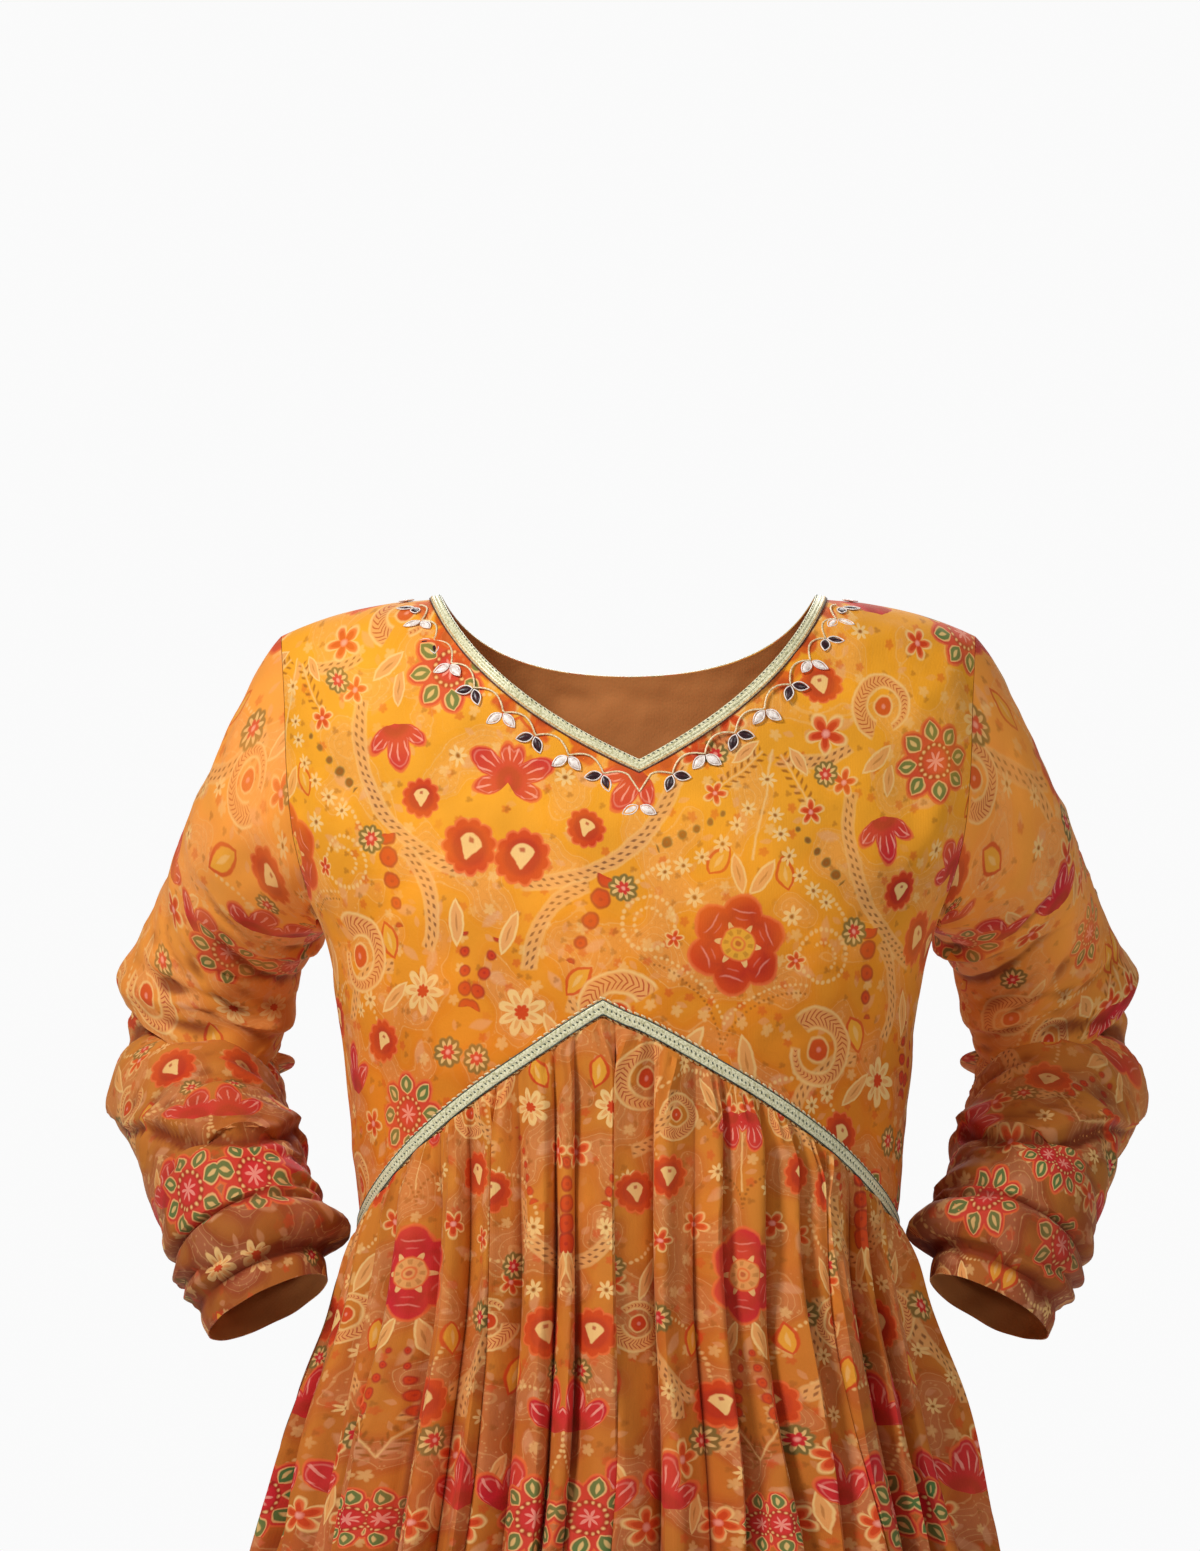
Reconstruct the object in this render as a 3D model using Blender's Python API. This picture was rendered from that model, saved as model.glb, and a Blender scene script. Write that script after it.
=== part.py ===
"""Anarkali gown in its worn shape: a bodice to just under the bust, long sleeves bent at the
elbow with the cuffs at the hips, and a full skirt gathered onto a peaked waist seam.

Metres, +Z up. The front faces -Y and the wearer's left arm is on the +X side. The origin lies
midway between the shoulders, level with the tops of the shoulder seams.
"""

import math
from collections import namedtuple

import bmesh
import bpy
import numpy as np

# ---------------------------------------------------------------- cloth and seams
WALL = 0.0020           # georgette with its backing cloth, as one wall
SEAM_GAP = 0.0003       # clear space between two pieces that are sewn together
TRIM_LIFT = 0.0009      # a trim's back stands this far off the cloth it is sewn on
TRIM_WALL = 0.0012
NECK_TRIM_WIDTH = 0.0080
WAIST_TRIM_WIDTH = 0.0095

# ---------------------------------------------------------------- the gown's smooth form
Level = namedtuple("Level", "height half_width front back")
FORM = (
    Level(-1.380, 0.445, 0.395, 0.395),   # hem
    Level(-1.150, 0.378, 0.330, 0.325),
    Level(-0.900, 0.306, 0.263, 0.257),
    Level(-0.700, 0.248, 0.211, 0.203),
    Level(-0.570, 0.210, 0.180, 0.168),
    Level(-0.480, 0.184, 0.159, 0.141),
    Level(-0.420, 0.167, 0.147, 0.117),
    Level(-0.385, 0.161, 0.142, 0.104),   # waist seam at the sides
    Level(-0.340, 0.164, 0.139, 0.096),
    Level(-0.300, 0.1675, 0.139, 0.096),
    Level(-0.240, 0.1735, 0.143, 0.102),  # bust
    Level(-0.191, 0.1855, 0.137, 0.108),  # underarm
    Level(-0.150, 0.2030, 0.123, 0.108),
    Level(-0.108, 0.2150, 0.108, 0.102),
    Level(-0.060, 0.2190, 0.097, 0.093),
    Level(-0.020, 0.2200, 0.089, 0.083),
    Level(0.030, 0.2200, 0.083, 0.076),   # above the seams, where only the form goes on
)
SQUARENESS = 0.87       # power of the cross-sections: 1 is an ellipse, less is squarer

Shoulder = namedtuple("Shoulder", "side height")
SHOULDER = (
    Shoulder(0.000, 0.0300),
    Shoulder(0.080, 0.0120),
    Shoulder(0.112, 0.0015),              # neck point
    Shoulder(0.143, -0.0020),
    Shoulder(0.179, -0.0100),
    Shoulder(0.208, -0.0215),             # shoulder tip
    Shoulder(0.240, -0.0400),
)
SHOULDER_SEAM_Y = 0.006                   # the seam lies a little behind the middle
SHOULDER_DEPTH = 0.075                    # the shoulders are rounded over this height
SHOULDER_FINER = 1.5                      # how much closer together the rows run there

HEM_HEIGHT = FORM[0].height
UNDERARM = -0.191
NECK_POINT = 0.112
SHOULDER_TIP = 0.208

# ---------------------------------------------------------------- edges of the pieces
Seam = namedtuple("Seam", "share height")
WAIST_PEAK_ANGLE = math.radians(-3.5)     # the peak sits a little to the wearer's right
WAIST_FRONT = (                           # share: 0 at the peak, 1 at the side seam
    Seam(0.000, -0.2460),
    Seam(0.123, -0.2685),
    Seam(0.273, -0.2930),
    Seam(0.472, -0.3240),
    Seam(0.678, -0.3540),
    Seam(0.850, -0.3730),
    Seam(1.000, -0.3850),
)
WAIST_BACK_RISE = 0.012                   # centre back above the side seams

NECK_TIP = (0.006, -0.096)                # front V: (side, height)
NECK_BOW = (0.086, -0.054)                # what the V's two edges bow towards
BACK_NECK_DROP = 0.045
BACK_NECK_BOW = 0.088

Edge = namedtuple("Edge", "share side height")
ARMHOLE = (                               # from the shoulder tip down to the underarm
    Edge(0.00, 0.2080, -0.0215),
    Edge(0.22, 0.2050, -0.0600),
    Edge(0.50, 0.2030, -0.1080),
    Edge(0.74, 0.1985, -0.1480),
    Edge(0.90, 0.1915, -0.1750),
    Edge(1.00, 0.1855, -0.1910),
)

# ---------------------------------------------------------------- sleeves
Arm = namedtuple("Arm", "share x y z radius")
ARM = (                                   # middle of the sleeve, armhole to cuff
    Arm(0.00, 0.197, 0.004, -0.108, 0.0720),
    Arm(0.10, 0.208, 0.031, -0.138, 0.0600),
    Arm(0.25, 0.231, 0.078, -0.178, 0.0510),
    Arm(0.38, 0.250, 0.117, -0.217, 0.0490),
    Arm(0.49, 0.261, 0.128, -0.257, 0.0465),
    Arm(0.59, 0.262, 0.111, -0.295, 0.0480),
    Arm(0.70, 0.251, 0.067, -0.325, 0.0490),
    Arm(0.82, 0.239, 0.023, -0.355, 0.0480),
    Arm(0.92, 0.227, -0.016, -0.386, 0.0450),
    Arm(1.00, 0.215, -0.036, -0.422, 0.0395),
)
CUFF_TILT = (-0.44, -0.30, -0.85)         # the way the cuff's mouth looks
HEAD_ROWS = 4                             # rows between the armhole and the plain tube
HEAD_LIFT = 0.5                           # how squarely those rows leave the armhole
HEAD_TWIST = math.radians(50)             # the arm is swung back, which turns the sleeve's head
UNTWISTED_BY = 0.50
SLEEVE_CLEARANCE = 0.004                  # least space between the upper sleeve and the bodice

Fold = namedtuple("Fold", "share rise spread facing reach tilt")
SLEEVE_FOLDS = (                          # facing 0 is outwards, 90 is front, 180 is to the body
    Fold(0.185, 0.0045, 0.020, 170, 80, 0.020),
    Fold(0.300, 0.0040, 0.018, 120, 70, -0.015),
    Fold(0.425, 0.0090, 0.022, -10, 100, -0.020),
    Fold(0.430, 0.0040, 0.016, 120, 60, 0.000),
    Fold(0.500, -0.0050, 0.012, 90, 90, -0.010),
    Fold(0.560, 0.0080, 0.022, -20, 110, 0.010),
    Fold(0.575, 0.0040, 0.016, 110, 70, 0.000),
    Fold(0.640, -0.0045, 0.012, 90, 120, 0.012),
    Fold(0.700, 0.0045, 0.018, 30, 120, 0.000),
    Fold(0.760, -0.0040, 0.011, 120, 120, -0.012),
    Fold(0.830, 0.0080, 0.020, 160, 150, 0.012),
    Fold(0.885, -0.0050, 0.011, 90, 150, 0.020),
    Fold(0.925, 0.0075, 0.014, 30, 170, 0.016),
    Fold(0.965, -0.0030, 0.010, 60, 170, 0.010),
)

# ---------------------------------------------------------------- skirt
PLEAT_WIDTHS = (                          # degrees of the waist seam, from the wearer's right to left
    6.0, 7.0, 11.0, 9.5, 7.5, 10.5, 7.8, 6.4, 5.0, 7.1, 3.8, 6.7,
    5.1, 7.2, 4.9, 8.4, 7.8, 6.6, 10.8, 7.4, 9.6, 10.9, 7.0, 6.0,
)
COMMON_WIDTH = 7.5                        # a pleat this wide stands as high as SKIRT_FALL says
PLEAT_POINTS = ((0.00, 0.0), (0.22, 0.80), (0.52, 1.0), (0.82, 0.62))  # (place, height) in one pleat

Fall = namedtuple("Fall", "share pleat wave")
SKIRT_FALL = (                            # how far the pleats and the wide folds stand out, to the hem
    Fall(0.00, 0.0035, 0.000),
    Fall(0.04, 0.0060, 0.000),
    Fall(0.09, 0.0078, 0.001),
    Fall(0.15, 0.0090, 0.003),
    Fall(0.26, 0.0105, 0.006),
    Fall(0.44, 0.0128, 0.012),
    Fall(0.70, 0.0158, 0.020),
    Fall(1.00, 0.0190, 0.028),
)
Hang = namedtuple("Hang", "height out")
SKIRT_HANG = (                            # the skirt falls past the waist without following it in
    Hang(-0.570, 0.0000),
    Hang(-0.480, 0.0020),
    Hang(-0.420, 0.0050),
    Hang(-0.385, 0.0075),
    Hang(-0.340, 0.0050),
    Hang(-0.300, 0.0020),
    Hang(-0.240, 0.0000),
)
HANG_WITHIN = 0.025                       # how soon below the seam that shows

Wave = namedtuple("Wave", "count part turn")
WIDE_FOLDS = (Wave(5, 0.35, 0.9), Wave(9, 0.60, 0.3), Wave(14, 0.35, 1.7))

# ---------------------------------------------------------------- how finely the walls are cut
SIDE_ROWS = 6
ARMHOLE_ROWS = 9
SHOULDER_STEPS = 7
NECK_STEPS = 11
SLEEVE_ROWS = 27
NECK_TRIM_STEPS = 14

Finish = namedtuple("Finish", "colour roughness metallic")
PRINTED_CLOTH = Finish((0.78, 0.33, 0.055), 0.75, 0.0)
GOLD_BRAID = Finish((0.72, 0.58, 0.33), 0.38, 0.75)


def clear_scene():
    for obj in list(bpy.data.objects):
        bpy.data.objects.remove(obj)


def material(name, finish):
    made = bpy.data.materials.new(name)
    made.use_nodes = True
    shader = made.node_tree.nodes["Principled BSDF"]
    shader.inputs["Base Color"].default_value = (*finish.colour, 1.0)
    shader.inputs["Roughness"].default_value = finish.roughness
    shader.inputs["Metallic"].default_value = finish.metallic
    return made


def column(table, name):
    return np.array([getattr(row, name) for row in table], float)


def smooth(stations, values, at):
    """A smooth curve through values at rising stations, read at the given places."""
    slopes = np.gradient(values, stations, axis=0)
    at = np.clip(at, stations[0], stations[-1])
    i = np.clip(np.searchsorted(stations, at) - 1, 0, len(stations) - 2)
    step = stations[i + 1] - stations[i]
    t = (at - stations[i]) / step
    if np.ndim(values) == 2:
        t, step = t[..., None], step[..., None]
    start, end = 2 * t**3 - 3 * t**2 + 1, 3 * t**2 - 2 * t**3
    leave, arrive = t**3 - 2 * t**2 + t, t**3 - t**2
    bends = (leave * slopes[i] + arrive * slopes[i + 1]) * step
    return start * values[i] + end * values[i + 1] + bends


def unit(vectors):
    return vectors / np.linalg.norm(vectors, axis=-1, keepdims=True)


def form(name, height):
    return smooth(column(FORM, "height"), column(FORM, name), np.asarray(height, float))


def shoulder_height(side):
    return smooth(column(SHOULDER, "side"), column(SHOULDER, "height"), np.abs(side))


def on_form(angle, height, spread=0.0):
    """Points on the gown's smooth form, its cross-sections spread by so much. The angle is 0 at
    centre front, a quarter turn at the wearer's left side and a half turn at centre back."""
    angle, height = np.broadcast_arrays(np.asarray(angle, float), np.asarray(height, float))
    across, along = np.sin(angle), np.cos(angle)
    x = (form("half_width", height) + spread) * np.sign(across) * np.abs(across) ** SQUARENESS
    deep = np.where(along > 0, form("front", height), form("back", height)) + spread
    below = np.clip((shoulder_height(x) - height) / SHOULDER_DEPTH, 0.0, 1.0)
    fullness = np.sqrt(below * (2.0 - below))
    reach = np.sign(along) * deep * np.abs(along) ** SQUARENESS
    y = SHOULDER_SEAM_Y * (1.0 - fullness) - reach * fullness
    return np.stack([x, y, height + 0.0 * x], axis=-1)


def off_form(angle, height, lift):
    """Points standing off the smooth form, square to it."""
    here = on_form(angle, height)
    across = on_form(angle + 0.01, height) - on_form(angle - 0.01, height)
    upward = on_form(angle, height + 0.0005) - on_form(angle, height - 0.0005)
    away = unit(np.cross(across, upward))
    on_seam = np.minimum(shoulder_height(here[..., 0]) - height, np.abs(np.cos(angle))) < 1e-6
    away[..., 1] = np.where(on_seam, 0.0, away[..., 1])
    return here + unit(away) * lift


def angle_of(side, height, behind=False):
    """The form's angle at a place across the gown, on its front or its back."""
    share = np.clip(np.abs(side) / form("half_width", height), 0.0, 1.0)
    angle = np.arcsin(share ** (1.0 / SQUARENESS))
    if behind:
        angle = math.pi - angle
    return np.where(np.asarray(side) < 0, -angle, angle)


def form_side(y, height):
    """How far out the form's side stands at a depth and a height."""
    deep = np.where(y < 0, form("front", height), form("back", height))
    share = np.clip(np.abs(y) / deep, 0.0, 1.0) ** (2.0 / SQUARENESS)
    return form("half_width", height) * (1.0 - share) ** (SQUARENESS / 2.0)


def waist_height(angle):
    """Height of the waist seam at any angle round the form."""
    angle = (np.asarray(angle, float) + math.pi) % (2 * math.pi) - math.pi
    side = math.pi / 2
    span = np.where(angle > WAIST_PEAK_ANGLE, side - WAIST_PEAK_ANGLE, side + WAIST_PEAK_ANGLE)
    share = np.abs(angle - WAIST_PEAK_ANGLE) / span
    front = smooth(column(WAIST_FRONT, "share"), column(WAIST_FRONT, "height"), share)
    behind = np.clip(np.abs(angle) / side - 1.0, 0.0, 1.0)
    back = WAIST_FRONT[-1].height + WAIST_BACK_RISE * behind**2 * (3.0 - 2.0 * behind)
    return np.where(np.abs(angle) <= side, front, back)


def bowed(start, bow, end, share):
    """Points (side, height) along an edge that bows towards a third point."""
    share = np.asarray(share, float)[:, None]
    start, bow, end = (np.array(p, float) for p in (start, bow, end))
    return (1 - share) ** 2 * start + 2 * share * (1 - share) * bow + share**2 * end


def neck_edge(share, sign, behind):
    """The neckline's half on one side (sign +1 or -1), from the middle to the neck point."""
    end = (sign * NECK_POINT, float(shoulder_height(NECK_POINT)))
    if behind:
        return bowed((0.0, -BACK_NECK_DROP), (sign * BACK_NECK_BOW, -BACK_NECK_DROP), end, share)
    return bowed(NECK_TIP, (sign * NECK_BOW[0], NECK_BOW[1]), end, share)


def armhole_edge(share):
    side = smooth(column(ARMHOLE, "share"), column(ARMHOLE, "side"), share)
    height = smooth(column(ARMHOLE, "share"), column(ARMHOLE, "height"), share)
    return side, height


def even_shares(points, count):
    """Shares at which a fine line of points is cut into lengths that shorten over the shoulder."""
    lengths = np.linalg.norm(np.diff(points, axis=0), axis=1)
    middle = (points[1:, 2] + points[:-1, 2]) / 2
    run = np.cumsum(lengths * (1.0 + SHOULDER_FINER * np.exp(middle / SHOULDER_DEPTH)))
    run = np.concatenate([[0.0], run / run[-1]])
    return np.interp(np.linspace(0.0, 1.0, count + 1), run, np.linspace(0.0, 1.0, len(points)))


# ---------------------------------------------------------------- walls from grids of points
def wall(name, outer, inner, closed, look):
    """A cloth wall between two grids of points [row][place], closed round if it is a tube."""
    rows, places = outer.shape[:2]
    mesh = bmesh.new()
    skins = [[[mesh.verts.new(p) for p in row] for row in grid] for grid in (outer, inner)]
    last = places if closed else places - 1

    def face(a, b, c, d):
        mesh.faces.new((a, b, c))
        mesh.faces.new((a, c, d))

    for skin in skins:
        for r in range(rows - 1):
            for p in range(last):
                q = (p + 1) % places
                face(skin[r][p], skin[r][q], skin[r + 1][q], skin[r + 1][p])
    out, back = skins
    for r in (0, rows - 1):
        for p in range(last):
            q = (p + 1) % places
            face(out[r][p], out[r][q], back[r][q], back[r][p])
    if not closed:
        for p in (0, places - 1):
            for r in range(rows - 1):
                face(out[r][p], out[r + 1][p], back[r + 1][p], back[r][p])
    bmesh.ops.recalc_face_normals(mesh, faces=mesh.faces)
    data = bpy.data.meshes.new(name)
    mesh.to_mesh(data)
    mesh.free()
    data.shade_smooth()
    data.set_sharp_from_angle(angle=math.radians(60))
    data.materials.append(look)
    obj = bpy.data.objects.new(name, data)
    bpy.context.scene.collection.objects.link(obj)
    return obj


# ---------------------------------------------------------------- bodice
def side_edge(sign, behind):
    """(angle, height) up the side seam and then the armhole, with the share of the way up."""
    seam = np.linspace(WAIST_FRONT[-1].height, UNDERARM, SIDE_ROWS + 1)[:-1]
    seam = np.stack([np.full(SIDE_ROWS, math.pi / 2), seam], axis=1)
    side, height = armhole_edge(np.linspace(1.0, 0.0, 161))
    fine = on_form(angle_of(side, height, behind), height)
    side, height = armhole_edge(1.0 - even_shares(fine, ARMHOLE_ROWS))
    armhole = np.stack([angle_of(side, height, behind), height], axis=1)
    edge = np.concatenate([seam, armhole])
    edge[: SIDE_ROWS + 1, 0] = math.pi / 2
    way = np.concatenate([[0.0], np.cumsum(np.linalg.norm(np.diff(on_form(*edge.T), axis=0), axis=1))])
    return edge * (sign, 1.0), way / way[-1]


def top_edge(sign, behind):
    """(angle, height) from the middle of the neckline to the neck point and the shoulder tip."""
    fine = neck_edge(np.linspace(0.0, 1.0, 161), sign, behind)
    fine = on_form(angle_of(*fine.T, behind), fine[:, 1])
    neck = neck_edge(even_shares(fine, NECK_STEPS), sign, behind)
    side = sign * np.linspace(NECK_POINT, SHOULDER_TIP, SHOULDER_STEPS + 1)[1:]
    shoulder = np.stack([side, shoulder_height(side)], axis=1)
    edge = np.concatenate([neck, shoulder])
    return np.stack([angle_of(*edge.T, behind), edge[:, 1]], axis=1)


def bodice_half(sign, behind):
    """(angle, height) [row up from the waist][column out from the middle], between four edges."""
    side, up = side_edge(sign, behind)
    top = top_edge(sign, behind)
    middle = sign * math.pi if behind else WAIST_PEAK_ANGLE
    across = np.linspace(0.0, 1.0, len(top))
    angle = middle + (sign * math.pi / 2 - middle) * across
    bottom = np.stack([angle, waist_height(angle)], axis=1)
    top[0, 0] = sign * math.pi if behind else top[0, 0]
    centre = bottom[0] + (top[0] - bottom[0]) * up[:, None]
    u, v = across[None, :, None], up[:, None, None]
    rows = bottom * (1 - v) + top * v + centre[:, None] * (1 - u) + side[:, None] * u
    corners = (bottom[0] * (1 - u) + bottom[-1] * u) * (1 - v) + (top[0] * (1 - u) + top[-1] * u) * v
    return rows - corners


def bodice_places(behind):
    """(angle, height) over the whole front or back, from the -X side to +X. The back's angles
    run on past the half turn instead of changing sign."""
    right, left = bodice_half(-1, behind), bodice_half(1, behind)
    if behind:
        right[..., 0] += 2 * math.pi
    return np.concatenate([right[:, ::-1], left[:, 1:]], axis=1)


def bodice_skin(behind, out=0.0):
    skin = off_form(*np.moveaxis(bodice_places(behind), -1, 0), out)
    skin[..., 1] += SEAM_GAP / 2 if behind else -SEAM_GAP / 2
    skin[0, :, 2] = bodice_places(behind)[0, :, 1]
    return skin


def bodice(name, behind, look):
    return wall(name, bodice_skin(behind), bodice_skin(behind, -WALL), False, look)


# ---------------------------------------------------------------- sleeves
def arm_frame(share):
    """Middle, outward, forward and along directions at places down the sleeve."""
    stations = column(ARM, "share")
    points = np.stack([column(ARM, axis) for axis in "xyz"], axis=1)
    step = 0.01
    middle = smooth(stations, points, share)
    along = unit(smooth(stations, points, share + step) - smooth(stations, points, share - step))
    near_cuff = np.clip((share - 0.80) / 0.20, 0.0, 1.0)[:, None]
    along = unit(along * (1 - near_cuff) + unit(np.array(CUFF_TILT)) * near_cuff)
    forward = np.array([0.0, -1.0, 0.0])
    forward = unit(forward - (along @ forward)[:, None] * along)
    outward = np.cross(forward, along)
    return middle, outward, forward, along


def fold_rise(share, turn):
    """How far the sleeve's folds stand out at (share down the sleeve, turn round it)."""
    rise = np.zeros(np.broadcast(share, turn).shape)
    for fold in SLEEVE_FOLDS:
        off = turn - math.radians(fold.facing)
        off = (off + math.pi) % (2 * math.pi) - math.pi
        reach = np.exp(-((off / math.radians(fold.reach)) ** 2))
        place = fold.share + fold.tilt * np.sin(off)
        rise += fold.rise * reach * np.exp(-(((share - place) / fold.spread) ** 2))
    return rise


def armhole_ring():
    """The bodice's edge round the +X armhole as one ring: down its front, then up its back."""
    front, back = (bodice_skin(behind)[SIDE_ROWS:, -1] for behind in (False, True))
    underarm, tip = (front[0] + back[0]) / 2, (front[-1] + back[-1]) / 2
    return np.concatenate([[tip], front[-2:0:-1], [underarm], back[1:-1]])


def sleeve_head(start, tube, along):
    """Rows of points from the armhole that run smoothly into the tube."""
    span = tube[HEAD_ROWS] - start
    length = np.linalg.norm(span, axis=1, keepdims=True)
    leave = unit(span / length + (HEAD_LIFT, 0.0, 0.0)) * length
    arrive = along[HEAD_ROWS] * length
    rows = []
    for t in np.arange(HEAD_ROWS) / HEAD_ROWS:
        point = (2 * t**3 - 3 * t**2 + 1) * start + (3 * t**2 - 2 * t**3) * tube[HEAD_ROWS]
        rows.append(point + (t**3 - 2 * t**2 + t) * leave + (t**3 - t**2) * arrive)
    return np.array(rows)


def sleeve(name, sign, look):
    share = np.linspace(0.0, 1.0, SLEEVE_ROWS + 1)
    middle, outward, forward, along = arm_frame(share)
    untwisted = np.clip(share / UNTWISTED_BY, 0.0, 1.0)[:, None]
    twist = HEAD_TWIST * (1.0 - untwisted**2 * (3.0 - 2.0 * untwisted))
    turn = np.linspace(0.0, 2 * math.pi, 2 * ARMHOLE_ROWS, endpoint=False) - twist
    radius = smooth(column(ARM, "share"), column(ARM, "radius"), share)
    radius = radius[:, None] + fold_rise(share[:, None], turn)
    facing = np.cos(turn)[..., None] * outward[:, None] + np.sin(turn)[..., None] * forward[:, None]
    outer = middle[:, None] + radius[..., None] * facing
    outer[:HEAD_ROWS] = sleeve_head(armhole_ring() + (SEAM_GAP, 0.0, 0.0), outer, along)
    opened = SLEEVE_CLEARANCE * np.clip(np.arange(SLEEVE_ROWS + 1) / 2, 0.0, 1.0)[:, None]
    nearest = form_side(outer[..., 1], outer[..., 2]) + opened
    outer[1:, :, 0] = np.maximum(outer[1:, :, 0], nearest[1:])
    around = np.roll(outer, -1, axis=1) - np.roll(outer, 1, axis=1)
    away = unit(np.cross(around, np.gradient(outer, axis=0)))
    away[0] = unit(np.roll(away[0], 1, axis=0) + away[0] + np.roll(away[0], -1, axis=0))
    away[0, :, 0] = np.minimum(away[0, :, 0], 0.0)
    inner = outer - WALL * away
    mirrored = (sign, 1.0, 1.0)
    return wall(name, outer * mirrored, inner * mirrored, True, look)


# ---------------------------------------------------------------- skirt
def pleat_columns(behind):
    """(angle, height in its pleat) across one half of the skirt, a few points to each pleat."""
    edges = np.radians(np.concatenate([[0.0], np.cumsum(PLEAT_WIDTHS)]))
    edges += math.pi / 2 if behind else -math.pi / 2
    columns = []
    for start, end, width in zip(edges, edges[1:], PLEAT_WIDTHS):
        stand = math.sqrt(width / COMMON_WIDTH)
        for place, height in PLEAT_POINTS:
            columns.append((start + place * (end - start), height * stand))
    columns.append((edges[-1], 0.0))
    return np.array(columns)


def wide_folds(angle):
    return sum(wave.part * np.cos(wave.count * angle + wave.turn) for wave in WIDE_FOLDS)


def skirt_top(angle, behind):
    """The bodice's lower edge, read between its columns, so that the two edges run together."""
    columns = bodice_places(behind)[0, :, 0]
    order = np.argsort(columns)
    return np.interp(angle, columns[order], waist_height(columns)[order])


def skirt(name, behind, look):
    angle, crest = pleat_columns(behind).T
    top = skirt_top(angle, behind) - SEAM_GAP
    height = top + (HEM_HEIGHT - top) * column(SKIRT_FALL, "share")[:, None]
    rise = column(SKIRT_FALL, "pleat")[:, None] * crest
    rise = rise + column(SKIRT_FALL, "wave")[:, None] * wide_folds(angle)
    hang = smooth(column(SKIRT_HANG, "height"), column(SKIRT_HANG, "out"), height)
    rise = rise + hang * (1.0 - np.exp((height - top) / HANG_WITHIN))
    skins = [on_form(angle, height, rise), on_form(angle, height, rise - WALL)]
    for skin in skins:
        skin[..., 1] += SEAM_GAP / 2 if behind else -SEAM_GAP / 2
    return wall(name, *skins, False, look)


# ---------------------------------------------------------------- trims
def neck_half(sign, behind, inset):
    """Half of a line round the neckline as (angle, height), moved off its edge into the cloth.
    It runs from the middle to the neck point, where it lies on the shoulder seam."""
    fine = np.linspace(0.0, 1.0, 161)
    places = neck_edge(fine, sign, behind)
    places = on_form(angle_of(*places.T, behind), places[:, 1])
    share = even_shares(places, NECK_TRIM_STEPS)
    edge, ahead = neck_edge(share, sign, behind), neck_edge(share + 0.001, sign, behind)
    along = unit(ahead - edge)
    into = sign * np.stack([along[:, 1], -along[:, 0]], axis=1)
    into[0] = (0.0, 1.0 / into[0, 1])     # the corner of the V, or flat across centre back
    into[-1] = (sign, 0.0)
    line = edge + inset * into
    line[:, 1] = np.minimum(line[:, 1], shoulder_height(line[:, 0]))
    line[-1, 1] = shoulder_height(line[-1, 0])
    return np.stack([angle_of(*line.T, behind), line[:, 1]], axis=1)


def neck_line(inset):
    """The line all round: up the V's wearer's-left side, across the back, and down again."""
    left, right = neck_half(1, False, inset), neck_half(-1, False, inset)
    behind_left, behind_right = neck_half(1, True, inset), neck_half(-1, True, inset)
    return np.concatenate([left, behind_left[-2:0:-1], behind_right[:-1], right[:0:-1]])


def neck_trim(name, look):
    edge, inside = neck_line(0.0).T, neck_line(NECK_TRIM_WIDTH).T
    skins = []
    for lift in (TRIM_LIFT + TRIM_WALL, TRIM_LIFT):
        skins.append(np.stack([off_form(*edge, lift), off_form(*inside, lift)]))
    return wall(name, *skins, True, look)


def waist_trim(name, look):
    """A band along the waist seam, made from the bodice's lowest points moved out."""
    skins = []
    for lift in (TRIM_LIFT + TRIM_WALL, TRIM_LIFT):
        front, back = bodice_skin(False, lift)[:2], bodice_skin(True, lift)[:2]
        sides = (front[:, [0, -1]] + back[:, [0, -1]]) / 2
        ring = np.concatenate([sides[:, :1], front[:, 1:-1], sides[:, 1:], back[:, -2:0:-1]], axis=1)
        rise = unit(ring[1] - ring[0])
        skins.append(np.stack([ring[0] + rise * width for width in (TRIM_LIFT, WAIST_TRIM_WIDTH)]))
    return wall(name, *skins, True, look)


def main():
    clear_scene()
    cloth = material("printed_cloth", PRINTED_CLOTH)
    braid = material("gold_braid", GOLD_BRAID)
    bodice("bodice_front", False, cloth)
    bodice("bodice_back", True, cloth)
    sleeve("sleeve_left", 1, cloth)
    sleeve("sleeve_right", -1, cloth)
    skirt("skirt_front", False, cloth)
    skirt("skirt_back", True, cloth)
    neck_trim("neck_trim", braid)
    waist_trim("waist_trim", braid)


main()
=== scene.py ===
"""Anarkali gown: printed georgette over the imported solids, with its gathers and creases, the
braids round the neck and along the waist seam, and the embroidered vine below the neckline.

Metres, +Z up. The front faces -Y and the wearer's left arm is on the +X side.
"""

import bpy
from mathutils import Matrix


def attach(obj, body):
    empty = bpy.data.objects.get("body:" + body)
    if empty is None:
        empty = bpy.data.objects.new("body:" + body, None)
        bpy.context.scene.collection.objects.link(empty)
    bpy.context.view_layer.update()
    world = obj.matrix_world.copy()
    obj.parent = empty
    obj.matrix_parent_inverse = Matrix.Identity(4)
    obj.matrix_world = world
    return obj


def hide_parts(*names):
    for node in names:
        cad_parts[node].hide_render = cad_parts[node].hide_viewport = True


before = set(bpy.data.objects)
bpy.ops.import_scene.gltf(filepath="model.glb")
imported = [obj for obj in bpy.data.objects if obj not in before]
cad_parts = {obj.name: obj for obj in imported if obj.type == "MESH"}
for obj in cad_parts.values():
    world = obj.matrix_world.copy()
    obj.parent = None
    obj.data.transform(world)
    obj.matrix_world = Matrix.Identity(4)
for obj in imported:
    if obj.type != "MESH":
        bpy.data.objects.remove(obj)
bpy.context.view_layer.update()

import math
from collections import namedtuple

import bmesh
import bpy
import numpy as np
from mathutils import Matrix, Vector

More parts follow.
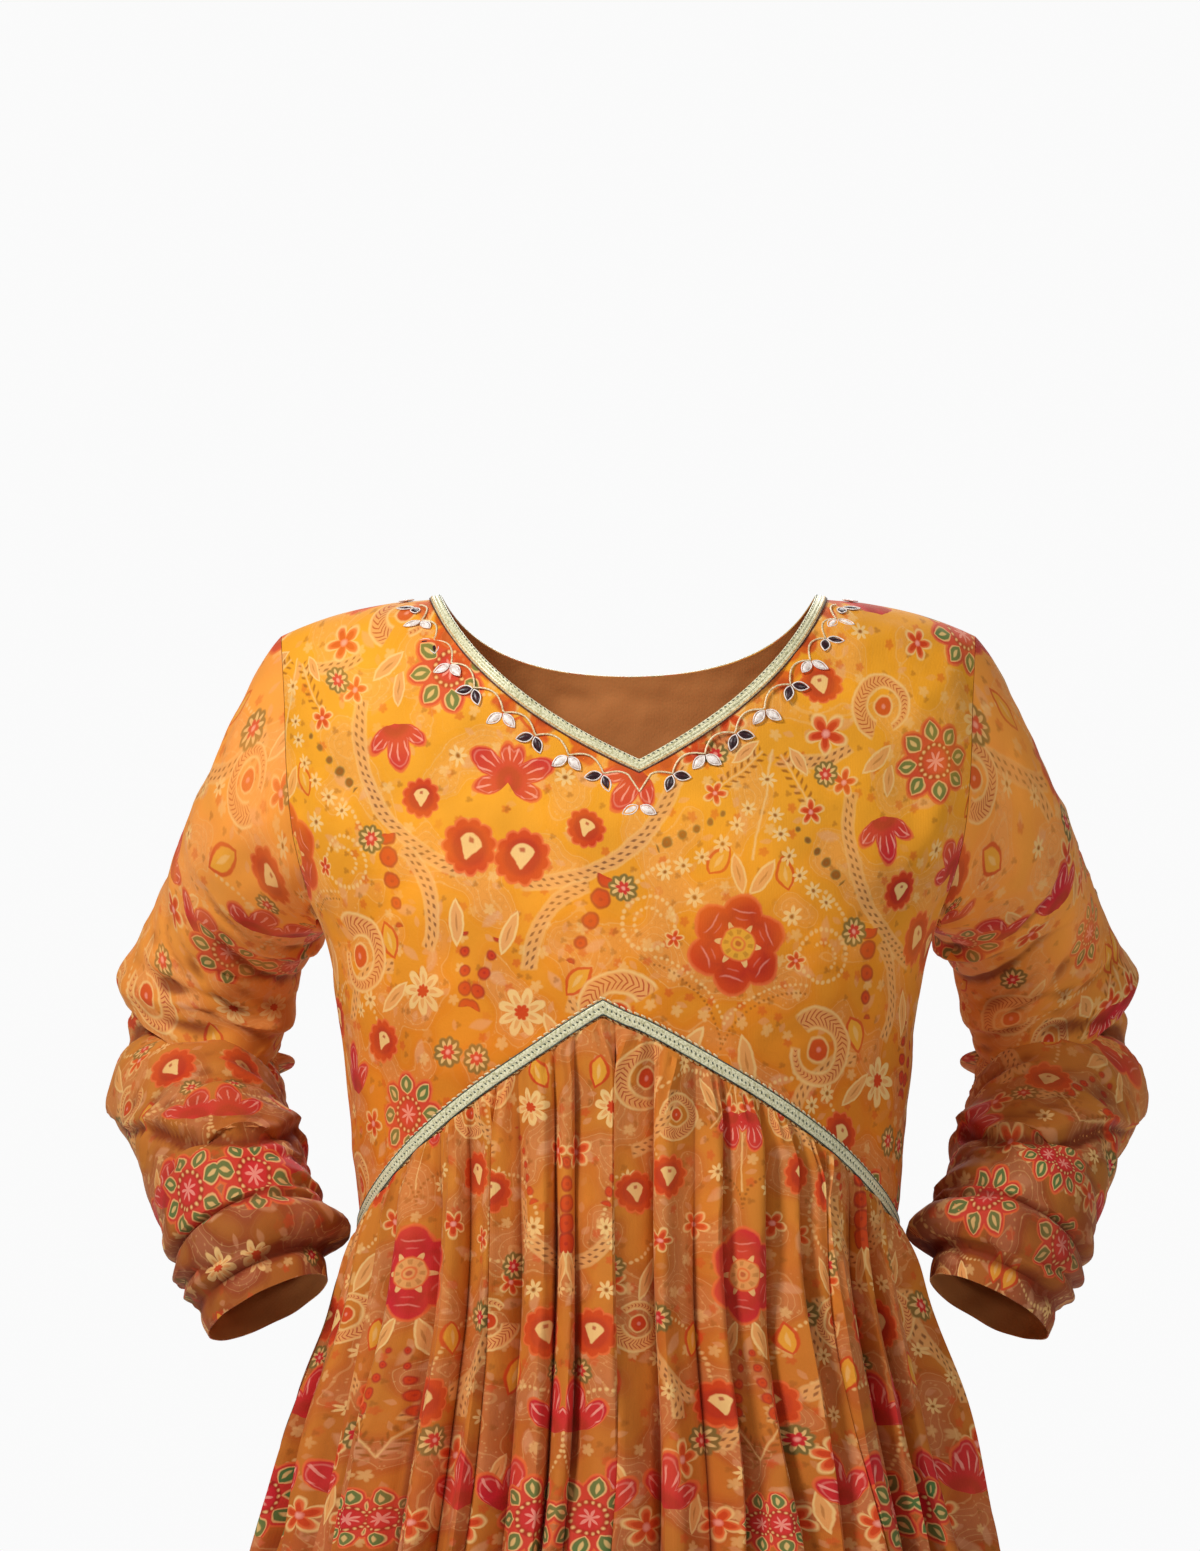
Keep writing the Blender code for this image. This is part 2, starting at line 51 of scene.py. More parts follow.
# Attributes of points: how deep the cloth lies in a fold, where shade is painted into its colour; how
# far it is from the front neckline; and, on a line to be sewn, the direction square to the cloth.
HOLLOW, NECK_DISTANCE, TILT = "hollow", "neck_distance", "tilt"

# ---------------------------------------------------------------- cloth and trims
CLOTH = 0.0008          # georgette with its backing
TRIM_LIFT = 0.0009      # a braid's back stands this far off the cloth it is sewn on
BRAID_WALL = 0.0009
BRAID_TOP = TRIM_LIFT + BRAID_WALL
SEAM_GAP = 0.0003       # between sheets that meet at a seam

# ---------------------------------------------------------------- the gown's smooth form
Level = namedtuple("Level", "height half_width front back")
FORM = [Level(*row) for row in (
    (-1.380, 0.445, 0.395, 0.395),   # hem
    (-1.150, 0.378, 0.330, 0.325),
    (-0.900, 0.306, 0.263, 0.257),
    (-0.700, 0.248, 0.211, 0.203),
    (-0.570, 0.210, 0.180, 0.168),
    (-0.480, 0.184, 0.159, 0.141),
    (-0.420, 0.167, 0.147, 0.117),
    (-0.385, 0.161, 0.142, 0.104),   # waist seam at the sides
    (-0.340, 0.164, 0.139, 0.096),
    (-0.300, 0.1675, 0.139, 0.096),
    (-0.240, 0.1735, 0.143, 0.102),  # bust
    (-0.191, 0.1855, 0.137, 0.108),  # underarm
    (-0.150, 0.2030, 0.123, 0.108),
    (-0.108, 0.2150, 0.108, 0.102),
    (-0.060, 0.2190, 0.097, 0.093),
    (-0.020, 0.2200, 0.089, 0.083),
    (0.030, 0.2200, 0.083, 0.076),
)]
SQUARENESS = 0.87       # power of the cross-sections: 1 is an ellipse, less is squarer

Shoulder = namedtuple("Shoulder", "side height")
SHOULDER = [Shoulder(*row) for row in (
    (0.000, 0.0300),
    (0.080, 0.0120),
    (0.112, 0.0015),              # neck point
    (0.143, -0.0020),
    (0.179, -0.0100),
    (0.208, -0.0215),             # shoulder tip
    (0.240, -0.0400),
)]
SHOULDER_SEAM_Y = 0.006
SHOULDER_DEPTH = 0.075
SHOULDER_FINER = 1.5

HEM_HEIGHT = FORM[0].height
UNDERARM = -0.191
NECK_POINT = 0.112
SHOULDER_TIP = 0.208

Seam = namedtuple("Seam", "share height")
WAIST_PEAK_ANGLE = math.radians(-3.5)
# share: 0 at the peak, 1 at the side seam
WAIST_FRONT = [Seam(*row) for row in (
    (0.000, -0.2460),
    (0.123, -0.2685),
    (0.273, -0.2930),
    (0.472, -0.3240),
    (0.678, -0.3540),
    (0.850, -0.3730),
    (1.000, -0.3850),
)]
WAIST_BACK_RISE = 0.012

NECK_TIP = (0.006, -0.096)                # front V: (side, height)
NECK_BOW = (0.086, -0.054)
BACK_NECK_DROP = 0.045
BACK_NECK_BOW = 0.088

Edge = namedtuple("Edge", "share side height")
# from the shoulder tip down to the underarm
ARMHOLE = [Edge(*row) for row in (
    (0.00, 0.2080, -0.0215),
    (0.22, 0.2050, -0.0600),
    (0.50, 0.2030, -0.1080),
    (0.74, 0.1985, -0.1480),
    (0.90, 0.1915, -0.1750),
    (1.00, 0.1855, -0.1910),
)]

Arm = namedtuple("Arm", "share x y z radius")
# middle of the sleeve, armhole to cuff
ARM = [Arm(*row) for row in (
    (0.00, 0.197, 0.004, -0.108, 0.0720),
    (0.10, 0.208, 0.031, -0.138, 0.0600),
    (0.25, 0.231, 0.078, -0.178, 0.0510),
    (0.38, 0.250, 0.117, -0.217, 0.0490),
    (0.49, 0.261, 0.128, -0.257, 0.0465),
    (0.59, 0.262, 0.111, -0.295, 0.0480),
    (0.70, 0.251, 0.067, -0.325, 0.0490),
    (0.82, 0.239, 0.023, -0.355, 0.0480),
    (0.92, 0.227, -0.016, -0.386, 0.0450),
    (1.00, 0.215, -0.036, -0.422, 0.0395),
)]
CUFF_TILT = (-0.44, -0.30, -0.85)
HEAD_SHARE = 4 / 27                       # how far down the sleeve its head runs
HEAD_LIFT = 0.5
HEAD_TWIST = math.radians(50)
UNTWISTED_BY = 0.50
SLEEVE_CLEARANCE = 0.004

Hang = namedtuple("Hang", "height out")
SKIRT_HANG = [Hang(*row) for row in (
    (-0.570, 0.0000),
    (-0.480, 0.0020),
    (-0.420, 0.0050),
    (-0.385, 0.0075),
    (-0.340, 0.0050),
    (-0.300, 0.0020),
    (-0.240, 0.0000),
)]
HANG_WITHIN = 0.025
Wave = namedtuple("Wave", "count part turn")
WIDE_FOLDS = (Wave(5, 0.35, 0.9), Wave(9, 0.60, 0.3), Wave(14, 0.35, 1.7))

# ---------------------------------------------------------------- how finely the cloth is cut
SIDE_ROWS = 36
ARMHOLE_ROWS = 54
SHOULDER_STEPS = 38
NECK_STEPS = 62
SLEEVE_ROWS = 216
SKIRT_ROWS = 112
PLEAT_STEPS = 16
FINE_POINTS = 161       # on a line that is then cut into even lengths


def column(table, name):
    return np.array([getattr(row, name) for row in table], float)


def smooth(stations, values, at):
    """A smooth curve through values at rising stations, read at the given places."""
    slopes = np.gradient(values, stations, axis=0)
    at = np.clip(at, stations[0], stations[-1])
    i = np.clip(np.searchsorted(stations, at) - 1, 0, len(stations) - 2)
    step = stations[i + 1] - stations[i]
    t = (at - stations[i]) / step
    if np.ndim(values) == 2:
        t, step = t[..., None], step[..., None]
    start, end = 2 * t**3 - 3 * t**2 + 1, 3 * t**2 - 2 * t**3
    leave, arrive = t**3 - 2 * t**2 + t, t**3 - t**2
    bends = (leave * slopes[i] + arrive * slopes[i + 1]) * step
    return start * values[i] + end * values[i + 1] + bends


def unit(vectors):
    return vectors / np.linalg.norm(vectors, axis=-1, keepdims=True)


def beside(across, up):
    """Two arrays as one of pairs."""
    return np.stack(np.broadcast_arrays(across, up), axis=-1)


def fade(value, low, high):
    """0 below low, 1 above high, and smooth between."""
    t = np.clip((value - low) / (high - low), 0.0, 1.0)
    return t * t * (3.0 - 2.0 * t)


def wander(places, seed, reach, count=9):
    """A slow random wave from about -1 to 1, made of a few sines. Each row of places is a point."""
    rng = np.random.default_rng(seed)
    places = np.asarray(places, float)
    total = np.zeros(places.shape[:-1])
    for _ in range(count):
        way = rng.normal(size=places.shape[-1])
        way *= rng.uniform(0.6, 1.7) / (reach * np.linalg.norm(way))
        total += np.sin(2 * math.pi * places @ way + rng.uniform(0, 2 * math.pi))
    return total / math.sqrt(count)


def read(table, name, at):
    """A column of a table at places between its rows, which its first column gives."""
    return smooth(np.array([row[0] for row in table], float), column(table, name), at)


# ---------------------------------------------------------------- places on the gown
def form(name, height):
    return read(FORM, name, np.asarray(height, float))


def shoulder_height(side):
    return read(SHOULDER, "height", np.abs(side))


def on_form(angle, height, spread=0.0):
    """Points on the gown's smooth form. The angle is 0 at centre front, a quarter turn at the
    wearer's left side and a half turn at centre back."""
    angle, height = np.broadcast_arrays(np.asarray(angle, float), np.asarray(height, float))
    across, along = np.sin(angle), np.cos(angle)
    x = (form("half_width", height) + spread) * np.sign(across) * np.abs(across) ** SQUARENESS
    deep = np.where(along > 0, form("front", height), form("back", height)) + spread
    below = np.clip((shoulder_height(x) - height) / SHOULDER_DEPTH, 0.0, 1.0)
    fullness = np.sqrt(below * (2.0 - below))
    reach = np.sign(along) * deep * np.abs(along) ** SQUARENESS
    y = SHOULDER_SEAM_Y * (1.0 - fullness) - reach * fullness
    return np.stack([x, y, height + 0.0 * x], axis=-1)


def away_from_form(angle, height):
    """The direction square to the form."""
    here = on_form(angle, height)
    across = on_form(angle + 0.01, height) - on_form(angle - 0.01, height)
    upward = on_form(angle, height + 0.0005) - on_form(angle, height - 0.0005)
    away = unit(np.cross(across, upward))
    on_seam = np.minimum(shoulder_height(here[..., 0]) - height, np.abs(np.cos(angle))) < 1e-6
    away[..., 1] = np.where(on_seam, 0.0, away[..., 1])
    return unit(away)

def angle_of(side, height, behind=False):
    share = np.clip(np.abs(side) / form("half_width", height), 0.0, 1.0)
    angle = np.arcsin(share ** (1.0 / SQUARENESS))
    if behind:
        angle = math.pi - angle
    return np.where(np.asarray(side) < 0, -angle, angle)


def form_side(y, height):
    deep = np.where(y < 0, form("front", height), form("back", height))
    share = np.clip(np.abs(y) / deep, 0.0, 1.0) ** (2.0 / SQUARENESS)
    return form("half_width", height) * (1.0 - share) ** (SQUARENESS / 2.0)


def waist_height(angle):
    """Height of the waist seam at any angle round the form."""
    angle = (np.asarray(angle, float) + math.pi) % (2 * math.pi) - math.pi
    side = math.pi / 2
    span = np.where(angle > WAIST_PEAK_ANGLE, side - WAIST_PEAK_ANGLE, side + WAIST_PEAK_ANGLE)
    share = np.abs(angle - WAIST_PEAK_ANGLE) / span
    front = read(WAIST_FRONT, "height", share)
    behind = np.clip(np.abs(angle) / side - 1.0, 0.0, 1.0)
    back = WAIST_FRONT[-1].height + WAIST_BACK_RISE * behind**2 * (3.0 - 2.0 * behind)
    return np.where(np.abs(angle) <= side, front, back)


def bowed(start, bow, end, share):
    share = np.asarray(share, float)[:, None]
    start, bow, end = (np.array(p, float) for p in (start, bow, end))
    return (1 - share) ** 2 * start + 2 * share * (1 - share) * bow + share**2 * end


def neck_edge(share, sign, behind):
    """The neckline's half on one side (sign +1 or -1), from the middle to the neck point."""
    end = (sign * NECK_POINT, float(shoulder_height(NECK_POINT)))
    if behind:
        return bowed((0.0, -BACK_NECK_DROP), (sign * BACK_NECK_BOW, -BACK_NECK_DROP), end, share)
    return bowed(NECK_TIP, (sign * NECK_BOW[0], NECK_BOW[1]), end, share)


def armhole_edge(share):
    return read(ARMHOLE, "side", share), read(ARMHOLE, "height", share)


def even_shares(points, count, finer=SHOULDER_FINER):
    """Shares at which a fine line of points is cut into lengths that shorten over the shoulder."""
    lengths = np.linalg.norm(np.diff(points, axis=0), axis=1)
    middle = (points[1:, 2] + points[:-1, 2]) / 2
    run = np.cumsum(lengths * (1.0 + finer * np.exp(middle / SHOULDER_DEPTH)))
    run = np.concatenate([[0.0], run / run[-1]])
    return np.interp(np.linspace(0.0, 1.0, count + 1), run, np.linspace(0.0, 1.0, len(points)))


def in_scene(name, data):
    obj = bpy.data.objects.new(name, data)
    bpy.context.scene.collection.objects.link(obj)
    return obj


# ---------------------------------------------------------------- the print, in millimetres
def dye(red, green, blue):
    """A colour as a dyer's chart gives it, 0 to 255, as the light values that shaders take."""
    parts = np.array([red, green, blue]) / 255.0
    linear = np.where(parts <= 0.04045, parts / 12.92, ((parts + 0.055) / 1.055) ** 2.4)
    return (*linear.tolist(), 1.0)


CREAM = dye(244, 198, 126)
PEACH = dye(234, 162, 92)
BLUSH = dye(232, 168, 122)
VERMILION = dye(210, 62, 22)
DEEP_RED = dye(172, 34, 26)
CORAL = dye(232, 104, 52)
CRIMSON = dye(206, 34, 44)
PINK = dye(246, 158, 140)
GOLD = dye(238, 168, 52)
BROWN = dye(150, 84, 22)
DARK_BROWN = dye(92, 44, 24)
GREEN = dye(84, 118, 62)
OLIVE = dye(120, 104, 52)

DYE_SPREAD = 1.1              # how far a printed edge runs into the cloth
REPEAT_HALF_WIDTH = 150.0     # the print is mirrored each time it has run this far across
REPEAT_HEIGHT = 345.0
REPEAT_FOOT = -165.0          # where the repeat starts, below the large flower's middle
HAND_DRAWN_SHIFT = (-2.3, -2.3)   # takes back how far hand_drawn moves the whole print

Place = namedtuple("Place", "across up turn size", defaults=(0, 1.0))
Band = namedtuple("Band", "across up radius low high half_width", defaults=(3.9,))
Garland = namedtuple("Garland", "across up radius low high spacing dot colour",
                     defaults=(3.6, 1.25, CREAM))
Chain = namedtuple("Chain", "place length spacing size colour dark", defaults=(VERMILION, DEEP_RED))


def give(tree, made, **inputs):
    """Set or link a node's inputs, each by its name, or as _0, _1, _2 by its place."""
    for name, value in inputs.items():
        place = made.inputs[int(name[1:]) if name[1:].isdigit() else name.replace("_", " ")]
        value = getattr(value, "socket", value)
        if hasattr(value, "links"):
            tree.links.new(value, place)
        else:
            place.default_value = value


def node(tree, kind, settings=None, **inputs):
    made = tree.nodes.new(kind)
    for name, value in (settings or {}).items():
        setattr(made, name, value)
    give(tree, made, **inputs)
    return made


def flat_noise(tree, vector, scale, detail=2.0):
    flat = {"noise_dimensions": "2D"}
    return node(tree, "ShaderNodeTexNoise", flat, Scale=scale, Detail=detail, Vector=vector)


def flat_cells(tree, vector, scale, randomness=1.0):
    flat = {"voronoi_dimensions": "2D"}
    return node(tree, "ShaderNodeTexVoronoi", flat, Scale=scale, Randomness=randomness, Vector=vector)


class Field:
    """A number that changes over the cloth, worked out by shader nodes."""

    def __init__(self, tree, socket):
        self.tree, self.socket = tree, socket

    def math(self, operation, *others, clamp=False):
        given = {f"_{place}": value for place, value in enumerate((self, *others))}
        made = node(self.tree, "ShaderNodeMath", {"operation": operation, "use_clamp": clamp}, **given)
        return Field(self.tree, made.outputs[0])

    def __add__(self, other):
        return self.math("ADD", other)

    def __sub__(self, other):
        return self.math("SUBTRACT", other)

    def __mul__(self, other):
        return self.math("MULTIPLY", other)

    def __abs__(self):
        return self.math("ABSOLUTE")

    def __and__(self, other):
        return self * other

    def cos(self):
        return self.math("COSINE")

    def power(self, other):
        return self.math("POWER", other)

    def least(self, other):
        return self.math("MINIMUM", other)

    def times_plus(self, by, add):
        return self.math("MULTIPLY_ADD", by, add)

    def choose(self, where_0, where_1):
        made = node(self.tree, "ShaderNodeMix", _0=self, _2=where_0, _3=where_1)
        return Field(self.tree, made.outputs[0])

    def to_nearest(self, spacing):
        """Distance to the nearest whole multiple of the spacing."""
        return self.math("PINGPONG", spacing / 2)

    def inside(self, edge=0.0, soft=DYE_SPREAD):
        """1 where the value is over the edge and 0 under it, softened like dye in cloth."""
        return self.math("MULTIPLY_ADD", 1 / soft, 0.5 - edge / soft, clamp=True)

    def below(self, edge, soft=DYE_SPREAD):
        """1 where the value is under the edge and 0 over it."""
        return self.math("MULTIPLY_ADD", -1 / soft, 0.5 + edge / soft, clamp=True)

    def within(self, low, high, soft=DYE_SPREAD):
        return abs(self - (low + high) / 2).below((high - low) / 2, soft)


class Spot:
    """A place on the cloth: how far across and up it is, and its radius and turn from the middle."""

    def __init__(self, tree, across, up, vector=None):
        self.tree, self.across, self.up, self.vector = tree, across, up, vector
        self._radius = self._turn = None

    @classmethod
    def of(cls, tree, vector):
        parts = node(tree, "ShaderNodeSeparateXYZ", _0=vector).outputs
        return cls(tree, Field(tree, parts[0]), Field(tree, parts[1]), vector)

    @property
    def squared(self):
        return self.across.times_plus(self.across, self.up * self.up)

    @property
    def radius(self):
        if self._radius is None:
            self._radius = self.squared.math("SQRT")
        return self._radius

    @property
    def turn(self):
        if self._turn is None:
            self._turn = self.up.math("ARCTAN2", self.across)
        return self._turn

    def disc(self, radius, soft=DYE_SPREAD):
        return self.radius.below(radius, soft)

    def seen_from(self, place):
        """The same spot as measured from a motif's middle, turned and sized as it is."""
        cos, sin = (part(math.radians(place.turn)) / place.size for part in (math.cos, math.sin))
        right, rise = -place.across * cos - place.up * sin, place.across * sin - place.up * cos
        across = self.across.times_plus(cos, self.up.times_plus(sin, right))
        up = self.across.times_plus(-sin, self.up.times_plus(cos, rise))
        return Spot(self.tree, across, up)

    def near(self, places):
        """The spot as measured from whichever of the places is nearest."""
        nearest = self.seen_from(places[0])
        least = nearest.squared
        for place in places[1:]:
            here = self.seen_from(place)
            far = here.squared
            closer = far.math("LESS_THAN", least)
            across, up = closer.choose(nearest.across, here.across), closer.choose(nearest.up, here.up)
            nearest, least = Spot(self.tree, across, up), least.least(far)
        return nearest

    def petals(self, count, core, tip, sharp=1.0, soft=DYE_SPREAD):
        """A flower's outline: so many petals from a core radius out to their tips."""
        wave = abs((self.turn * (count / 2)).cos())
        if sharp != 1.0:
            wave = wave.power(sharp)
        return (wave.times_plus(tip - core, core) - self.radius).inside(0.0, soft)

    def leaf(self, half_length, half_width):
        """How deep inside a pointed leaf along the up direction, from 0 at its edge to 1."""
        bulge = self.up * (1 / half_length) * (self.up * (1 / half_length))
        return bulge.times_plus(-1.0, 1.0) - abs(self.across) * (1 / half_width)


class Dyer:
    """Lays colours over each other, the first at the bottom."""

    def __init__(self, tree, ground):
        self.tree, self.colour = tree, ground

    def lay(self, colour, mask, strength=1.0):
        if strength != 1.0:
            mask = mask * strength
        coloured = {"data_type": "RGBA"}
        made = node(self.tree, "ShaderNodeMix", coloured, _0=mask, _6=self.colour, _7=colour)
        self.colour = made.outputs[2]


def scattered(cloth, size, randomness):
    """Cells about so large that scatter small motifs: the way from each cell's middle, and two
    random numbers of the cell."""
    tree = cloth.tree
    cells = flat_cells(tree, cloth.vector, 1 / size, randomness).outputs
    off = node(tree, "ShaderNodeVectorMath", {"operation": "SUBTRACT"},
               _0=cloth.vector, _1=cells["Position"])
    numbers = node(tree, "ShaderNodeSeparateColor", _0=cells["Color"]).outputs
    return off.outputs[0], Field(tree, numbers[0]), Field(tree, numbers[1])


def ghost_leaves(dyer, cloth):
    """Pale drops scattered under everything else."""
    for size, half_length, half_width, strength in ((30.0, 8.0, 3.4, 0.46), (17.0, 3.6, 2.0, 0.36)):
        off, turn, chance = scattered(cloth, size, 0.75)
        spin = node(cloth.tree, "ShaderNodeVectorRotate", {"rotation_type": "Z_AXIS"},
                    Vector=off, Angle=turn * 3.0)
        depth = Spot.of(cloth.tree, spin.outputs[0]).leaf(half_length, half_width)
        dyer.lay(BLUSH, depth.inside(0.1, 0.5) & chance.inside(0.45, 0.2), strength)


def scrolls(dyer, cloth):
    """Thin cream scrolls that wander over the ground, and the mottling of the dye."""
    level = Field(cloth.tree, flat_noise(cloth.tree, cloth.vector, 0.030, 0.6).outputs[0])
    line = abs(level.to_nearest(0.16) - 0.04).below(0.0055, 0.004)
    dyer.lay(BLUSH, level.inside(0.54, 0.12), 0.20)
    dyer.lay(GOLD, level.below(0.44, 0.12), 0.22)
    dyer.lay(CREAM, line & level.inside(0.47, 0.08), 0.24)
    dots = Field(cloth.tree, flat_cells(cloth.tree, cloth.vector, 1 / 5.5).outputs["Distance"])
    dyer.lay(CREAM, dots.below(0.10, 0.10) & level.inside(0.50, 0.04), 0.30)
    dyer.lay(BROWN, abs(dots - 0.42).below(0.02, 0.05) & level.inside(0.55, 0.03), 0.20)


def arc(cloth, row, soft):
    """For a row of print on an arc: how far out from it and how far along it a spot lies, and
    a mask that ends at the arc's ends."""
    spot = cloth.seen_from(Place(row.across, row.up))
    out, along = spot.radius - row.radius, spot.turn * row.radius
    return out, along, spot.turn.within(math.radians(row.low), math.radians(row.high), soft)


def dashed_band(dyer, cloth, band):
    """A peach band on an arc with cream edges and a double row of dark dashes."""
    out, along, ends = arc(cloth, band, 0.04)
    width = abs(out)
    dyer.lay(CREAM, width.below(band.half_width + 0.8) & ends, 0.50)
    dyer.lay(PEACH, width.below(band.half_width - 0.3) & ends, 0.75)
    slanted = (along + out * 0.9).to_nearest(5.4)
    rows = abs(width - 1.6).below(0.75, 0.7)
    dyer.lay(DARK_BROWN, slanted.below(1.15, 0.8) & rows & ends, 0.75)


def garland(dyer, cloth, row):
    """Dots along an arc."""
    out, along, ends = arc(cloth, row, 0.03)
    near = along.to_nearest(row.spacing)
    far = (near * near + out * out).math("SQRT")
    dyer.lay(row.colour, far.below(row.dot, 0.9) & ends, 0.8)


def chain(dyer, cloth, row):
    """Discs in a straight row that grow smaller along it, each with a darker rim and an eye."""
    size = row.size
    spot = cloth.seen_from(Place(*row.place))
    near = spot.up.to_nearest(row.spacing)
    far = (near * near + spot.across * spot.across).math("SQRT")
    disc = spot.up.times_plus(-size * 0.30 / row.length, size * 0.75) - far
    ends = abs(spot.up).below(row.length, 0.5)
    dyer.lay(row.dark, disc.inside() & ends, 0.9)
    dyer.lay(row.colour, disc.inside(size * 0.22, 1.0) & ends)
    dyer.lay(row.dark, far.below(size * 0.16, 0.7) & ends, 0.6)


def large_flowers(dyer, cloth, places, body=VERMILION, middle=GOLD):
    spot = cloth.near(places)
    wave = abs((spot.turn * 3.0 + math.pi / 2).cos())
    edge = wave.times_plus(8.0, 29.0) - spot.radius
    dyer.lay(CORAL, edge.inside(-0.8, 1.6))
    dyer.lay(body, edge.inside(1.4, 2.0))
    dyer.lay(DEEP_RED, edge.within(7.0, 15.0, 8.0), 0.50)
    veins = abs(spot.radius + wave * 6.0 - 30.0)
    dyer.lay(PINK, veins.below(0.5) & wave.inside(0.62, 0.3), 0.65)
    curls = abs(spot.radius + wave * 3.0 - 22.0)
    dyer.lay(PINK, curls.below(0.3) & wave.inside(0.80, 0.2), 0.45)
    dyer.lay(CREAM, spot.petals(6, 9.0, 17.5, 5.0), 0.85)
    dyer.lay(CORAL, spot.disc(13.2))
    dyer.lay(middle, spot.disc(12.0))
    dyer.lay(BROWN, (spot.turn * 8.0).cos().inside(0.2, 0.6) & spot.radius.within(7.0, 11.0, 1.5), 0.45)
    dyer.lay(CORAL, spot.radius.within(4.0, 5.6), 0.8)
    dyer.lay(DEEP_RED, spot.disc(2.2), 0.7)


def crimson_flowers(dyer, cloth, places):
    large_flowers(dyer, cloth, places, CRIMSON, PEACH)


def drop_flowers(dyer, cloth, places):
    spot = cloth.near(places)
    wave = abs((spot.turn * 5.5).cos())
    edge = wave.times_plus(2.4, 15.6) - spot.radius
    dyer.lay(CORAL, edge.inside(-0.4))
    dyer.lay(VERMILION, edge.inside(1.2))
    dyer.lay(DEEP_RED, spot.disc(11.5, 3.0), 0.6)
    width = (spot.up + 8.5) * 0.62
    drop = (width - abs(spot.across)).least(spot.radius.times_plus(-1.0, 7.6))
    dyer.lay(CREAM, drop.inside(-0.3))
    bar = abs(spot.up - 4.0).below(1.4) & abs(spot.across).below(1.5)
    dyer.lay(DEEP_RED, drop.inside(0.6) & bar, 0.8)


def stars(dyer, cloth, places):
    spot = cloth.near(places)
    dyer.lay(CREAM, spot.petals(7, 1.9, 5.2, 1.2))
    dyer.lay(BROWN, spot.disc(1.15))


def daisies(dyer, cloth, places):
    spot = cloth.near(places)
    dyer.lay(OLIVE, spot.petals(9, 7.2, 8.6))
    dyer.lay(CREAM, spot.petals(9, 2.8, 7.0, 1.5), 0.85)
    dyer.lay(CRIMSON, spot.petals(6, 2.6, 4.2))
    dyer.lay(PINK, spot.disc(1.2))


def white_flowers(dyer, cloth, places):
    spot = cloth.near(places)
    dyer.lay(CREAM, spot.petals(8, 6.0, 14.5, 0.7))
    dyer.lay(PEACH, spot.petals(8, 4.0, 10.5, 3.0), 0.9)
    dyer.lay(CREAM, spot.radius.within(4.0, 5.0))
    dyer.lay(VERMILION, spot.petals(8, 3.0, 4.4))


def lotus_buds(dyer, cloth, places):
    """A bud that opens upwards from its foot in three broad petals, with pale veins."""
    foot = cloth.near(places).seen_from(Place(0, -13, 90))
    lobes = abs((foot.turn * 3.4).cos())
    edge = lobes.times_plus(13.0, 16.0) * (foot.turn * 0.75).cos() - foot.radius
    fan = abs(foot.turn).below(1.35, 0.05)
    dyer.lay(CORAL, edge.inside(-0.7) & fan)
    dyer.lay(CRIMSON, edge.inside(0.9) & fan)
    rays = (foot.turn * 22.0).cos().inside(0.78, 0.2) & foot.radius.within(13.0, 22.0, 2.0)
    dyer.lay(PINK, rays & fan & edge.inside(2.0), 0.85)
    dyer.lay(PINK, abs(edge - 3.2).below(0.4) & fan, 0.5)
    dyer.lay(DEEP_RED, foot.radius.within(3.0, 9.0, 3.0) & fan, 0.7)


def fan_flowers(dyer, cloth, places):
    """A crimson fan ringed with white dots inside a spray of green leaves."""
    spot = cloth.near(places)
    dyer.lay(CORAL, spot.petals(8, 20.0, 26.5))
    dyer.lay(CRIMSON, spot.petals(8, 18.0, 25.0), 0.8)
    aside = spot.turn.to_nearest(2 * math.pi / 8) * spot.radius
    lift = (spot.radius - 18.0) * (1 / 6.2)
    leaf = (lift * lift).times_plus(-1.0, 1.0) - aside * (1 / 4.6)
    dyer.lay(CREAM, leaf.inside(-0.12, 0.15), 0.8)
    dyer.lay(GREEN, leaf.inside(0.12, 0.15))
    dyer.lay(CREAM, leaf.inside(0.72, 0.15), 0.8)
    dyer.lay(DEEP_RED, spot.disc(11.0))
    dyer.lay(CRIMSON, spot.disc(8.0, 2.0))
    near = spot.turn.to_nearest(2 * math.pi / 16) * spot.radius
    out = spot.radius - 9.6
    dyer.lay(CREAM, (near * near + out * out).math("SQRT").below(0.85))
    dyer.lay(PINK, spot.petals(7, 1.5, 6.0, 2.0), 0.8)


def red_buds(dyer, cloth, places):
    spot = cloth.near(places)
    dyer.lay(CREAM, spot.petals(5, 3.4, 8.2, 0.8), 0.9)
    dyer.lay(CORAL, spot.petals(5, 2.6, 7.0, 1.2))
    dyer.lay(VERMILION, spot.petals(5, 1.2, 5.6, 1.6))
    dyer.lay(PINK, spot.disc(1.3))


def hooks(dyer, cloth, places):
    """A paisley's hook: a tapering curl with leaf veins that ends round a red disc."""
    spot = cloth.near(places)
    grow = (spot.turn + math.pi) * (1 / (2 * math.pi))
    half = grow.times_plus(4.6, 1.2)
    out = abs(spot.radius - 14.0 - grow * 3.0)
    ends = spot.turn.within(-2.7, 2.75, 0.1)
    dyer.lay(CREAM, (half - out).inside(-1.4) & ends, 0.9)
    dyer.lay(PEACH, (half - out).inside() & ends)
    veins = (spot.turn * 14.0 + out * 0.75).to_nearest(2.6)
    dyer.lay(DEEP_RED, veins.below(0.42, 0.2) & (half - out).inside(0.8) & ends, 0.8)
    dyer.lay(CREAM, spot.disc(6.8), 0.9)
    dyer.lay(VERMILION, spot.disc(5.6))
    dyer.lay(PINK, spot.disc(1.3), 0.7)


